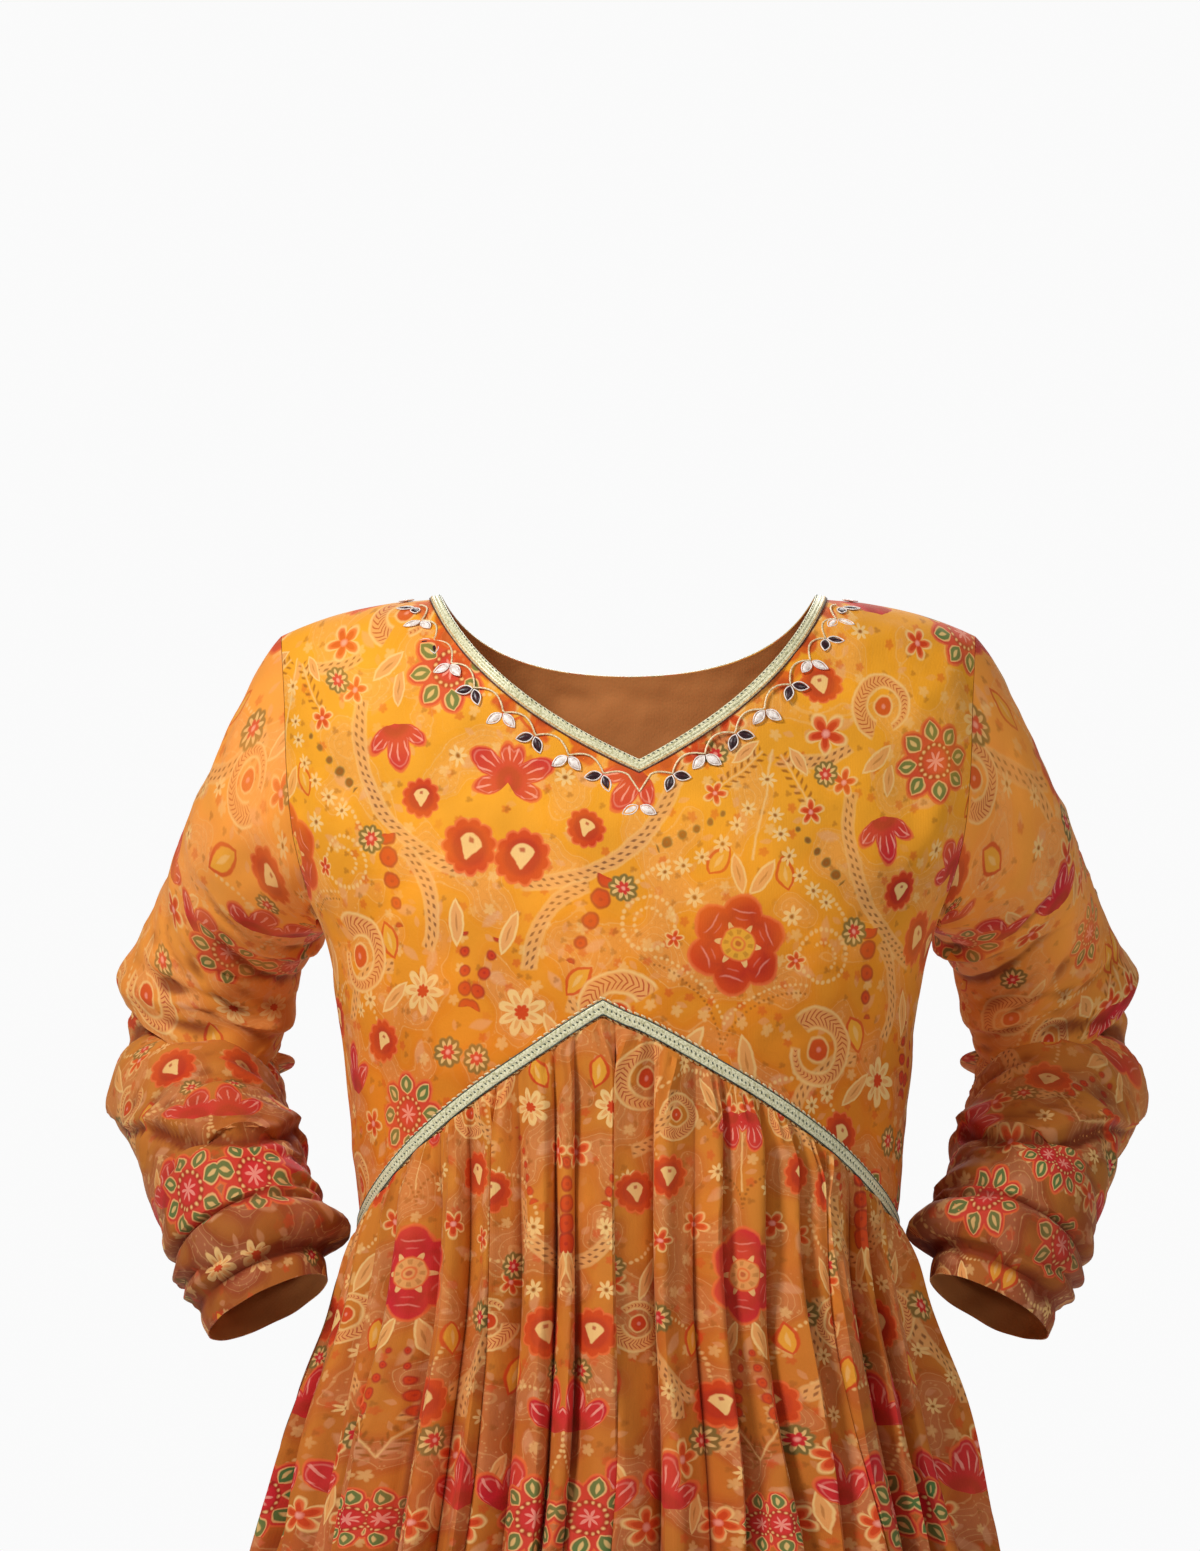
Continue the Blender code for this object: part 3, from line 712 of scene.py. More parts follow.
def slim_leaves(dyer, cloth, places):
    depth = cloth.near(places).leaf(13.0, 4.4)
    dyer.lay(CREAM, depth.inside(0.0, 0.15))
    dyer.lay(PEACH, depth.inside(0.28, 0.15))
    dyer.lay(BROWN, depth.inside(0.86, 0.1), 0.5)


def lozenges(dyer, cloth, places):
    depth = cloth.near(places).leaf(10.5, 6.4)
    dyer.lay(VERMILION, depth.inside(0.0, 0.12), 0.9)
    dyer.lay(GOLD, depth.inside(0.30, 0.12), 0.9)
    dyer.lay(CREAM, depth.inside(0.80, 0.12), 0.6)


def sprays(dyer, cloth, places):
    """The stem that rises over the large flower, its leaf sprays, and rows of brown seeds."""
    dyer.lay(CREAM, cloth.across.below(0.55) & cloth.up.within(50, 116), 0.9)
    for place, length in zip(places, (17.0, 22.0)):
        spot = cloth.seen_from(place)
        ends = abs(spot.up).below(length)
        dyer.lay(CREAM, abs(spot.across).below(0.45) & ends, 0.8)
        blade = (spot.up + abs(spot.across) * -0.7).to_nearest(5.0)
        reach = abs(spot.across).within(1.4, 4.6)
        dyer.lay(BROWN, blade.below(0.95) & reach & ends, 0.85)


def sprigs(dyer, cloth):
    """Small dabs and five-petalled sprigs of mixed colours that fill the ground between motifs."""
    for size, petals, core, tip, colour, few in (
        (15.0, 5, 1.8, 2.9, VERMILION, 0.60), (12.0, 3, 1.0, 2.0, BROWN, 0.55),
        (19.0, 5, 2.0, 3.6, CREAM, 0.62),
    ):
        off, _turn, chance = scattered(cloth, size, 0.8)
        sprig = Spot.of(cloth.tree, off).petals(petals, core, tip, 0.8, 1.3)
        dyer.lay(colour, sprig & chance.inside(few, 0.1), 0.5)


def hand_drawn(tree, vector):
    """The same positions moved a little here and there, so that no printed edge is quite regular."""
    for size, reach in ((24.0, 3.6), (5.0, 1.1)):
        noise = flat_noise(tree, vector, 1 / size, 1.0)
        moved = node(tree, "ShaderNodeVectorMath", {"operation": "MULTIPLY_ADD"},
                     _0=noise.outputs["Color"], _1=(reach, reach, 0.0), _2=vector)
        vector = moved.outputs[0]
    return vector


def shader_group(name, **inputs):
    """A shader node group with the named inputs and a colour out: (its tree, inputs, end)."""
    tree = bpy.data.node_groups.new(name, "ShaderNodeTree")
    for label, kind in inputs.items():
        tree.interface.new_socket(label, in_out="INPUT", socket_type="NodeSocket" + kind)
    tree.interface.new_socket("Colour", in_out="OUTPUT", socket_type="NodeSocketColor")
    return tree, node(tree, "NodeGroupInput").outputs, node(tree, "NodeGroupOutput")


def motif_group(name, draw, rows):
    """One kind of motif as a node group, laid over the colour that it is given."""
    tree, given, made = shader_group(name, Across="Float", Up="Float", Ground="Color")
    cloth = Spot(tree, Field(tree, given[0]), Field(tree, given[1]))
    dyer = Dyer(tree, given[2])
    if draw in ROWS_OF:
        for row in rows:
            draw(dyer, cloth, ROWS_OF[draw](*row))
    else:
        draw(dyer, cloth, [Place(*row) for row in rows])
    give(tree, made, _0=dyer.colour)
    return tree


def print_group(name, layout):
    """The whole print as one node group: cloth position in metres in, dyed colour out."""
    tree, given, made = shader_group(name, Cloth="Vector", Ground="Color")
    scale = node(tree, "ShaderNodeVectorMath", {"operation": "MULTIPLY_ADD"},
                 _0=given["Cloth"], _1=(1000.0, 1000.0, 0.0), _2=(*HAND_DRAWN_SHIFT, 0.0))
    flat = Spot.of(tree, hand_drawn(tree, scale.outputs[0]))
    up = (flat.up - REPEAT_FOOT).math("WRAP", REPEAT_HEIGHT, 0.0)
    cloth = Spot(tree, flat.across.math("PINGPONG", REPEAT_HALF_WIDTH), up + REPEAT_FOOT)
    dyer = Dyer(tree, given["Ground"])
    scrolls(dyer, flat)
    ghost_leaves(dyer, flat)
    sprigs(dyer, flat)
    for draw, rows in layout.items():
        group = {"node_tree": motif_group(f"{name}_{draw.__name__}", draw, rows)}
        motif = node(tree, "ShaderNodeGroup", group, _0=cloth.across, _1=cloth.up, _2=dyer.colour)
        dyer.colour = motif.outputs[0]
    give(tree, made, Colour=dyer.colour)
    return tree


# The rows of print of each kind, in the order in which they are laid. A row is a Place, but for the
# three kinds in ROWS_OF.
ROWS_OF = {dashed_band: Band, garland: Garland, chain: Chain}
BODICE_LAYOUT = {
    dashed_band: (
        (140, 100, 88, -180, -96), (68, -26, 51, -12, 61), (16, 150, 38, -100, -40, 3.2),
        (96, -96, 44, 95, 175, 3.4),
    ),
    garland: (
        (54, 3, 15.4, -180, 180), (54, 3, 8.2, -60, 150, 3.2, 1.0), (30, 2, 42, 18, 66),
        (50, -72, 56, 92, 168, 3.4, 0.9), (50, -72, 51, 92, 172, 3.0, 0.7, BROWN),
        (54, -100, 30, 20, 200, 3.8, 1.1), (120, 150, 34, -170, -60, 3.6, 1.1),
    ),
    chain: (
        ((88, -2, 195), 27, 13.6, 6.8), ((37, 62, 53), 25, 9, 3.2, BROWN, OLIVE),
        ((144, -44, 10), 22, 11, 5),
    ),
    sprays: ((16, 101, 40), (12, -92, -35)),
    slim_leaves: (
        (7, 41, -24), (64, 122, -35), (74, 112, 8, 0.9), (18, -66, 22, 1.3), (16, 112, 45, 0.8),
        (96, -70, -40, 1.1), (34, -128, 30), (134, -18, 12, 1.1),
    ),
    lozenges: ((20, 46, 24), (88, -38, 30, 1.1), (146, 112, -20, 1.1)),
    hooks: ((62, 154, 100, 0.95), (62, -52, -20, 1.15)),
    white_flowers: ((118, -62, 10), (8, -142, 30, 1.05), (134, 158, 0, 0.95)),
    red_buds: (
        (29, 84, -40), (46, 105, 15, 1.1), (30, 131, 60, 1.6), (82, -150, 0, 1.2), (37, -3, 90, 0.8),
    ),
    daisies: ((72, 20), (140, -94, 15, 1.1), (34, 108, 0, 0.9)),
    stars: (
        (0, 98), (8, 79, 20, 0.9), (13, 68, 5), (20, 56, 12), (30, 47, 30), (40, 39, 8, 1.1),
        (50, 33, 22), (30, 22, 0, 1.15), (64, -84), (74, -76, 25, 1.1), (118, 78, 10, 1.2),
        (44, -150, 0, 1.1),
    ),
    lotus_buds: ((80, 78, 200), (58, -122, 15, 1.05), (140, 76, 60)),
    drop_flowers: (
        (100, 50, 10, 0.66), (134, 27, -12, 0.95), (20, -98, 20, 0.7), (88, -98, -15, 0.75),
        (22, 160, 25, 0.7),
    ),
    fan_flowers: ((102, 128, -25), (118, -136, 15)),
    large_flowers: ((0, 0, 0, 0.80),),
}
SKIRT_LAYOUT = {
    dashed_band: (
        (150, 46, 40, -180, -90, 3.6), (18, -22, 56, -62, 8), (96, 118, 44, -170, -100, 3.4),
        (100, -84, 46, 150, 180, 3.4), (0, -112, 30, 20, 75, 3.2),
    ),
    garland: (
        (96, 34, 26, -180, 180, 3.6, 1.1), (40, 92, 30, -60, 110, 3.4, 1.0),
        (70, -60, 38, 100, 250, 3.4, 1.0), (20, 40, 20, 90, 260, 3.0, 0.8, BROWN),
        (120, -96, 30, -60, 120, 3.6, 1.1), (30, 150, 30, -150, 0, 3.4, 1.0),
    ),
    chain: (((150, 44), 30, 12, 7.5), ((8, -64, 12), 24, 9, 4), ((112, 66, 20), 24, 8, 3)),
    sprays: ((16, 101, 40), (12, -92, -35)),
    slim_leaves: (
        (146, 4, -14, 0.9), (10, -38, 22), (80, -2, 24), (28, 108, -30, 0.9), (72, 140, 20),
        (46, -140, 10), (98, -118, -20), (20, 152, 30, 0.9),
    ),
    lozenges: ((40, -38, 10), (104, -60, -16, 1.2), (124, 122, 20), (6, 124, -10)),
    hooks: ((80, 118, -30, 1.0), (50, 96, 160, 0.7), (86, -28, 200, 0.8)),
    white_flowers: ((116, 101, 10, 0.82), (136, 156, 30, 0.8), (14, -150, 0, 0.75)),
    red_buds: (
        (36, 30, -20, 1.1), (54, -108, 20, 1.5), (33, -146, 50, 1.4), (100, -4, 0, 1.1),
        (140, 74, 10, 1.3), (10, 100, 30, 1.2), (84, -148, 15, 1.5), (62, 22, 40),
    ),
    daisies: (
        (64, -24, 0, 1.1), (101, 6, 20), (38, -98, 10, 1.1), (136, -56, 0, 0.9), (88, 154, 0, 1.1),
    ),
    stars: (
        (120, 30, 0, 1.1), (112, 20, 20), (24, 62, 5), (16, 52, 12), (90, 60, 30, 0.9), (74, -50, 8),
        (60, -68, 22), (120, -8, 0, 1.1), (20, -116), (74, -84, 25), (144, -8, 10),
        (48, 126, 0, 1.1),
    ),
    lotus_buds: (
        (140, -78, -5, 1.15), (64, -122, 10, 1.2), (110, -126, -14, 1.25), (8, 88, 180, 0.8),
    ),
    drop_flowers: (
        (128, -33, 8, 0.85), (28, -76, -8, 0.85), (56, 60, 10, 0.72), (86, 50, -6, 0.72),
    ),
    fan_flowers: ((128, -142, 10, 1.0), (28, 158, 0, 0.8), (6, -146, 0, 0.7)),
    crimson_flowers: ((0, 0, 0, 0.78),),
}


# ---------------------------------------------------------------- materials
# The ground colour, darker lower down between two heights: partly the dye's own colour, partly painted
# shade where the light falls off.
Ground = namedtuple("Ground", "high low start end")   # the dye's colour, and where it turns darker
# Painted shade: the folds' hollows are coloured darker, towards this dark red-brown, by so much.
PAINTED_FOLD_SHADE = dye(118, 36, 10)           # in the folds' hollows
FOLD_SHADE_STRENGTH = 0.80


def material(name, **looks):
    """A new material with its shader's plain values: (the material, its tree, its shader)."""
    made = bpy.data.materials.new(name)
    made.use_nodes = True
    shader = made.node_tree.nodes["Principled BSDF"]
    give(made.node_tree, shader, **looks)
    return made, made.node_tree, shader


def two_shades(tree, amount, low, high, at=(0.0, 1.0)):
    ramp = node(tree, "ShaderNodeValToRGB", _0=amount)
    for stop, position, colour in zip(ramp.color_ramp.elements, at, (low, high)):
        stop.position, stop.color = position, colour
    return ramp.outputs[0]


def attribute(tree, name):
    made = node(tree, "ShaderNodeAttribute", {"attribute_name": name})
    return Field(tree, made.outputs["Fac"])


def georgette(name, print_tree, ground, middle, turn, stretch=(1.0, 1.0), thin=0.30, neckline=False):
    """Printed georgette: its colour from the print, with shade painted into the folds' hollows, a
    crinkled weave and a faint sheen. The print's middle lies at a place on the piece's cloth (metres),
    turned by so many degrees, and thin is how much of the ground shows through it."""
    made, tree, shader = material(name, Roughness=0.72, Sheen_Weight=0.05, Sheen_Roughness=0.4,
                                  Specular_IOR_Level=0.16)
    cloth = node(tree, "ShaderNodeUVMap", {"uv_map": "cloth"}).outputs[0]
    place = node(tree, "ShaderNodeMapping", {"vector_type": "TEXTURE"}, Vector=cloth,
                 Location=(*middle, 0.0), Rotation=(0.0, 0.0, math.radians(turn)), Scale=(*stretch, 1.0))
    height = Spot.of(tree, cloth).up
    # darker lower down the piece: partly the dye, partly painted shade
    darker_below = node(tree, "ShaderNodeMapRange", Value=height, From_Min=ground.start, From_Max=ground.end)
    base = Dyer(tree, ground.high)
    base.lay(ground.low, Field(tree, darker_below.outputs[0]))
    pattern = node(tree, "ShaderNodeGroup", {"node_tree": print_tree}, Cloth=place.outputs[0],
                   Ground=base.colour)
    dyer = Dyer(tree, pattern.outputs["Colour"])
    if neckline:
        neckline_flowers(dyer, cloth)
    uneven = Field(tree, flat_noise(tree, cloth, 16.0).outputs[0])
    dyer.lay(base.colour, uneven.inside(0.50, 0.4), thin)
    # painted shade: the cloth is darkened where it lies deep in a fold
    dyer.lay(PAINTED_FOLD_SHADE, attribute(tree, HOLLOW), FOLD_SHADE_STRENGTH)
    level = node(tree, "ShaderNodeMapRange", Value=uneven, From_Min=0.3, From_Max=0.7,
                 To_Min=0.88, To_Max=1.06)
    tone = node(tree, "ShaderNodeMix", {"data_type": "RGBA", "blend_type": "MULTIPLY"},
                _0=1.0, _6=dyer.colour, _7=level.outputs[0])
    give(tree, shader, Base_Color=tone.outputs[2])
    weave(tree, shader, cloth)
    return made


def neckline_flowers(dyer, cloth):
    """Rust-red petals printed close together below the front neckline, under the embroidery."""
    tree = dyer.tree
    far = attribute(tree, NECK_DISTANCE) * 1000.0
    petals = Field(tree, flat_cells(tree, cloth, 58.0, 0.8).outputs["Distance"])
    here_and_there = Field(tree, flat_noise(tree, cloth, 22.0).outputs[0]).inside(0.38, 0.06)
    band = far.within(5.0, 17.0, 3.0) & here_and_there
    dyer.lay(VERMILION, petals.below(0.46, 0.10) & band, 0.85)
    dyer.lay(DEEP_RED, petals.below(0.22, 0.10) & band, 0.55)


def bump(tree, height, strength, distance, **over):
    made = node(tree, "ShaderNodeBump", Strength=strength, Distance=distance, Height=height, **over)
    return made.outputs[0]


def weave(tree, shader, cloth):
    """The crepe's fine pebbling and a few soft crinkles, as bump."""
    pebbles = flat_noise(tree, cloth, 620.0, 0.0)
    threads = node(tree, "ShaderNodeTexWave", Scale=320.0, Distortion=2.5, Vector=cloth)
    crinkle = flat_noise(tree, cloth, 42.0, 1.5)
    fine = node(tree, "ShaderNodeMix", _0=0.3, _2=pebbles.outputs[0], _3=threads.outputs["Fac"])
    first = bump(tree, fine.outputs[0], 0.35, 0.0003)
    give(tree, shader, Normal=bump(tree, crinkle.outputs[0], 0.30, 0.004, Normal=first))


def reverse_look(name, colour):
    """The cloth's inner side: the dye shows through it paler and without its print."""
    made, tree, shader = material(name, Roughness=0.8)
    cloth = node(tree, "ShaderNodeUVMap", {"uv_map": "cloth"}).outputs[0]
    noise = node(tree, "ShaderNodeTexNoise", Scale=30.0, Vector=cloth)
    darker = (*(part * 0.8 for part in colour[:3]), 1.0)
    give(tree, shader, Base_Color=two_shades(tree, noise.outputs[0], darker, colour))
    weave(tree, shader, cloth)
    return made


def thread(name, colour, dark, roughness, metallic=0.1, grain=900.0):
    """A wound or twisted thread: two shades along its grain, with fine ridges."""
    made, tree, shader = material(name, Roughness=roughness, Metallic=metallic)
    here = node(tree, "ShaderNodeTexCoord").outputs["Object"]
    ridges = node(tree, "ShaderNodeTexNoise", Scale=grain, Detail=1.0, Vector=here).outputs[0]
    give(tree, shader, Base_Color=two_shades(tree, ridges, dark, colour, (0.32, 0.60)),
         Normal=bump(tree, ridges, 0.5, 0.0003))
    return made


# ---------------------------------------------------------------- shells of cloth
def grid_normals(points, closed):
    """Directions square to a grid of points [row][place]."""
    if closed:
        around = np.roll(points, -1, axis=1) - np.roll(points, 1, axis=1)
    else:
        around = np.gradient(points, axis=1)
    return unit(np.cross(around, np.gradient(points, axis=0)))


def shell(name, outer, away, cloth, looks, closed=False, thick=CLOTH, marks=None):
    """A thin closed shell of cloth from its outer points, the directions out of it and its
    positions on the flat cloth (metres), which have one more place if the grid is closed."""
    rows, places = outer.shape[:2]
    count = rows * places
    index = np.arange(count).reshape(rows, places)
    flat = np.arange(rows * cloth.shape[1]).reshape(rows, cloth.shape[1])
    if closed:
        index = np.concatenate([index, index[:, :1]], axis=1)

    def corners(grid):
        four = grid[:-1, :-1], grid[:-1, 1:], grid[1:, 1:], grid[1:, :-1]
        return np.stack(four, axis=-1).reshape(-1, 4)

    quads, spots = corners(index), corners(flat)
    a, b, c = (outer.reshape(-1, 3)[quads[:, k]] for k in (0, 1, 3))
    facing = np.einsum("ij,ij->i", np.cross(b - a, c - a), away.reshape(-1, 3)[quads[:, 0]])
    turned = facing.sum() < 0
    if turned:
        quads, spots = quads[:, ::-1], spots[:, ::-1]
    faces, places_on_cloth = [quads, quads[:, ::-1] + count], [spots, spots[:, ::-1]]
    finish = [np.zeros(len(quads), int), np.ones(len(quads), int)]
    edges = [(index[0], flat[0], False), (index[-1], flat[-1], True)]
    if not closed:
        edges += [(index[:, 0], flat[:, 0], True), (index[:, -1], flat[:, -1], False)]
    for line, spot, flip in edges:
        rim = np.stack([line[1:], line[:-1], line[:-1] + count, line[1:] + count], axis=-1)
        on_cloth = np.stack([spot[1:], spot[:-1], spot[:-1], spot[1:]], axis=-1)
        if flip != turned:
            rim, on_cloth = rim[:, ::-1], on_cloth[:, ::-1]
        faces.append(rim)
        places_on_cloth.append(on_cloth)
        finish.append(np.zeros(len(rim), int))
    faces = np.concatenate(faces)
    data = bpy.data.meshes.new(name)
    both = np.concatenate([outer.reshape(-1, 3), (outer - away * thick).reshape(-1, 3)])
    data.from_pydata(both.tolist(), [], faces.tolist())
    spots = cloth.reshape(-1, 2)[np.concatenate(places_on_cloth).reshape(-1)]
    layer = data.uv_layers.new(name="cloth")
    layer.data.foreach_set("uv", spots.astype(np.float32).reshape(-1))
    for mark, values in (marks or {}).items():
        given = data.attributes.new(mark, "FLOAT", "POINT")
        given.data.foreach_set("value", np.tile(values.reshape(-1), 2).astype(np.float32))
    for look in looks:
        data.materials.append(look)
    data.polygons.foreach_set("material_index", np.concatenate(finish).astype(np.int32))
    data.shade_smooth()
    data.set_sharp_from_angle(angle=math.radians(60))
    data.update()
    return in_scene(name, data)


def stepped(points, step, axis, closed):
    """The same grid of points, each taken so many rows or columns further on."""
    places = np.arange(points.shape[axis]) + step
    last = points.shape[axis] - 1
    places = places % (last + 1) if closed else np.clip(places, 0, last)
    return np.take(points, places, axis=axis)


def hollows(outer, away, rows, columns, depth, closed=False):
    """How deep each point lies in a fold, from 0 on the open cloth to 1: its depth below the
    middle of its neighbours so many rows and columns away."""
    around = [
        stepped(outer, step, axis, closed and axis == 1)
        for axis, far in enumerate((rows, columns)) for step in (-far, -far // 2, far // 2, far)]
    inward = np.einsum("ijk,ijk->ij", np.mean(around, axis=0) - outer, away)
    return np.clip(inward / depth, 0.0, 1.0)


def cloth_area(obj):
    """Area of the sheet: half of its closed shell."""
    return sum(polygon.area for polygon in obj.data.polygons) / 2


def arc_across(angle, height, start, steps=24):
    """Length over the form at one height, from a starting angle to each place."""
    shares = np.linspace(0.0, 1.0, steps + 1)
    points = np.array([on_form(start + (angle - start) * share, height) for share in shares])
    lengths = np.linalg.norm(np.diff(points, axis=0), axis=-1).sum(axis=0)
    return np.where(angle >= start, lengths, -lengths)


# ---------------------------------------------------------------- bodice
def side_edge(sign, behind):
    """(angle, height) up the side seam and then the armhole, with the share of the way up."""
    seam = np.linspace(WAIST_FRONT[-1].height, UNDERARM, SIDE_ROWS + 1)[:-1]
    seam = np.stack([np.full(SIDE_ROWS, math.pi / 2), seam], axis=1)
    side, height = armhole_edge(np.linspace(1.0, 0.0, FINE_POINTS))
    fine = on_form(angle_of(side, height, behind), height)
    side, height = armhole_edge(1.0 - even_shares(fine, ARMHOLE_ROWS))
    armhole = np.stack([angle_of(side, height, behind), height], axis=1)
    edge = np.concatenate([seam, armhole])
    edge[: SIDE_ROWS + 1, 0] = math.pi / 2
    way = np.concatenate([[0.0], np.cumsum(np.linalg.norm(np.diff(on_form(*edge.T), axis=0), axis=1))])
    return edge * (sign, 1.0), way / way[-1]


def top_edge(sign, behind):
    """(angle, height) from the middle of the neckline to the neck point and the shoulder tip."""
    fine = neck_edge(np.linspace(0.0, 1.0, FINE_POINTS), sign, behind)
    fine = on_form(angle_of(*fine.T, behind), fine[:, 1])
    neck = neck_edge(even_shares(fine, NECK_STEPS), sign, behind)
    side = sign * np.linspace(NECK_POINT, SHOULDER_TIP, SHOULDER_STEPS + 1)[1:]
    shoulder = np.stack([side, shoulder_height(side)], axis=1)
    edge = np.concatenate([neck, shoulder])
    return np.stack([angle_of(*edge.T, behind), edge[:, 1]], axis=1)


def bodice_half(sign, behind):
    """(angle, height) [row up from the waist][column out from the middle], between four edges."""
    side, up = side_edge(sign, behind)
    top = top_edge(sign, behind)
    middle = sign * math.pi if behind else WAIST_PEAK_ANGLE
    across = np.linspace(0.0, 1.0, len(top))
    angle = middle + (sign * math.pi / 2 - middle) * across
    bottom = np.stack([angle, waist_height(angle)], axis=1)
    top[0, 0] = sign * math.pi if behind else top[0, 0]
    centre = bottom[0] + (top[0] - bottom[0]) * up[:, None]
    u, v = across[None, :, None], up[:, None, None]
    rows = bottom * (1 - v) + top * v + centre[:, None] * (1 - u) + side[:, None] * u
    corners = (bottom[0] * (1 - u) + bottom[-1] * u) * (1 - v) + (top[0] * (1 - u) + top[-1] * u) * v
    return rows - corners


def bodice_places(behind):
    right, left = bodice_half(-1, behind), bodice_half(1, behind)
    if behind:
        right[..., 0] += 2 * math.pi
    return np.concatenate([right[:, ::-1], left[:, 1:]], axis=1)


Crease = namedtuple("Crease", "x z turn length width rise")
# on the wearer's left; turn 0 runs upright, 90 across
BODICE_CREASES = [Crease(*row) for row in (
    (0.172, -0.150, 28, 0.055, 0.010, 0.0030),
    (0.150, -0.182, 48, 0.050, 0.008, -0.0018),
    (0.186, -0.112, 12, 0.050, 0.009, 0.0024),
    (0.160, -0.085, -8, 0.060, 0.014, -0.0016),
    (0.128, -0.232, 66, 0.050, 0.009, 0.0014),
    (0.146, -0.300, 14, 0.075, 0.007, -0.0018),
    (0.162, -0.262, -20, 0.045, 0.006, 0.0014),
    (0.152, -0.342, -30, 0.035, 0.005, 0.0013),
    (0.118, -0.322, 40, 0.045, 0.006, -0.0010),
    (0.090, -0.270, 75, 0.060, 0.009, 0.0010),
    (0.060, -0.205, 82, 0.070, 0.012, -0.0010),
    (0.140, -0.028, 70, 0.045, 0.008, 0.0012),
    (0.186, -0.050, 35, 0.040, 0.008, 0.0016),
    (0.040, -0.150, 60, 0.055, 0.012, 0.0009),
)]
MIRRORED_DROP = 0.006   # the right side's creases lie a little lower, and are softer
MIRRORED_RISE = 0.85
DART = Crease(0.146, -0.318, 3, 0.085, 0.0022, -0.0013)   # the seam over the bust, on both sides
BODICE_WAVES = (        # rise, reach, and the seeds of front and back
    (0.0007, 0.060, (7, 11)),
    (0.0003, 0.022, (3, 19)),
)


def crease_rise(creases, x, z, bend=0.12):
    """How far soft ridges and troughs stand out at places (x, z) of a garment seen flat."""
    rise = np.zeros(np.shape(x))
    for crease in creases:
        turn = math.radians(crease.turn)
        dx, dz = x - crease.x, z - crease.z
        along = dz * math.cos(turn) + dx * math.sin(turn)
        aside = dx * math.cos(turn) - dz * math.sin(turn)
        aside = aside + bend * along**2 / crease.length
        rise += crease.rise * np.exp(-((along / crease.length) ** 2) - (aside / crease.width) ** 2)
    return rise


def off_seam(behind):
    """How far along Y a front or back sheet stands off the seams at its sides."""
    return SEAM_GAP / 2 if behind else -SEAM_GAP / 2


def bodice(name, behind, looks):
    places = bodice_places(behind)
    angle, height = np.moveaxis(places, -1, 0)
    smooth_skin = on_form(angle, height)
    away = away_from_form(angle, height)
    x, z = smooth_skin[..., 0], smooth_skin[..., 2]
    rise = crease_rise(BODICE_CREASES, x, z, 0.10)
    mirrored = [
        crease._replace(turn=-crease.turn, z=crease.z - MIRRORED_DROP) for crease in BODICE_CREASES]
    rise += crease_rise(mirrored, -x, z, -0.08) * MIRRORED_RISE
    rise += crease_rise([DART], x, z, 0.0) + crease_rise([DART], -x, z, 0.0)
    for high, reach, seeds in BODICE_WAVES:
        rise += high * wander(smooth_skin, seeds[behind], reach)
    rows, columns = rise.shape
    up, across = np.linspace(0, 1, rows)[:, None], np.linspace(0, 1, columns)
    at_edge = fade(up, 0.0, 0.03) * fade(1 - up, 0.035, 0.09)      # the cloth lies flat at its seams
    at_edge = at_edge * fade(across, 0, 0.02) * fade(1 - across, 0, 0.02)
    outer = smooth_skin + away * (rise * at_edge)[..., None]
    outer[..., 1] += off_seam(behind)
    start = math.pi if behind else 0.0
    cloth = np.stack([arc_across(angle, height, start), height], axis=-1)
    marks = {NECK_DISTANCE: distance_to(outer, neck_edge_points())}
    return shell(name, outer, away, cloth, looks, marks=marks)


def neck_edge_points():
    """The front neckline as a line of points."""
    halves = []
    for sign in (-1, 1):
        edge = neck_edge(np.linspace(0.0, 1.0, 120), sign, False)
        halves.append(on_form(angle_of(*edge.T), edge[:, 1]))
    return np.concatenate(halves)


def distance_to(grid, points):
    """Each grid point's distance to the nearest of the points."""
    least = np.full(grid.shape[:-1], np.inf)
    for point in points:
        least = np.minimum(least, np.linalg.norm(grid - point, axis=-1))
    return least


# ---------------------------------------------------------------- sleeves
Fold = namedtuple("Fold", "share rise above below facing reach tilt bend", defaults=(0.0, 0.0))
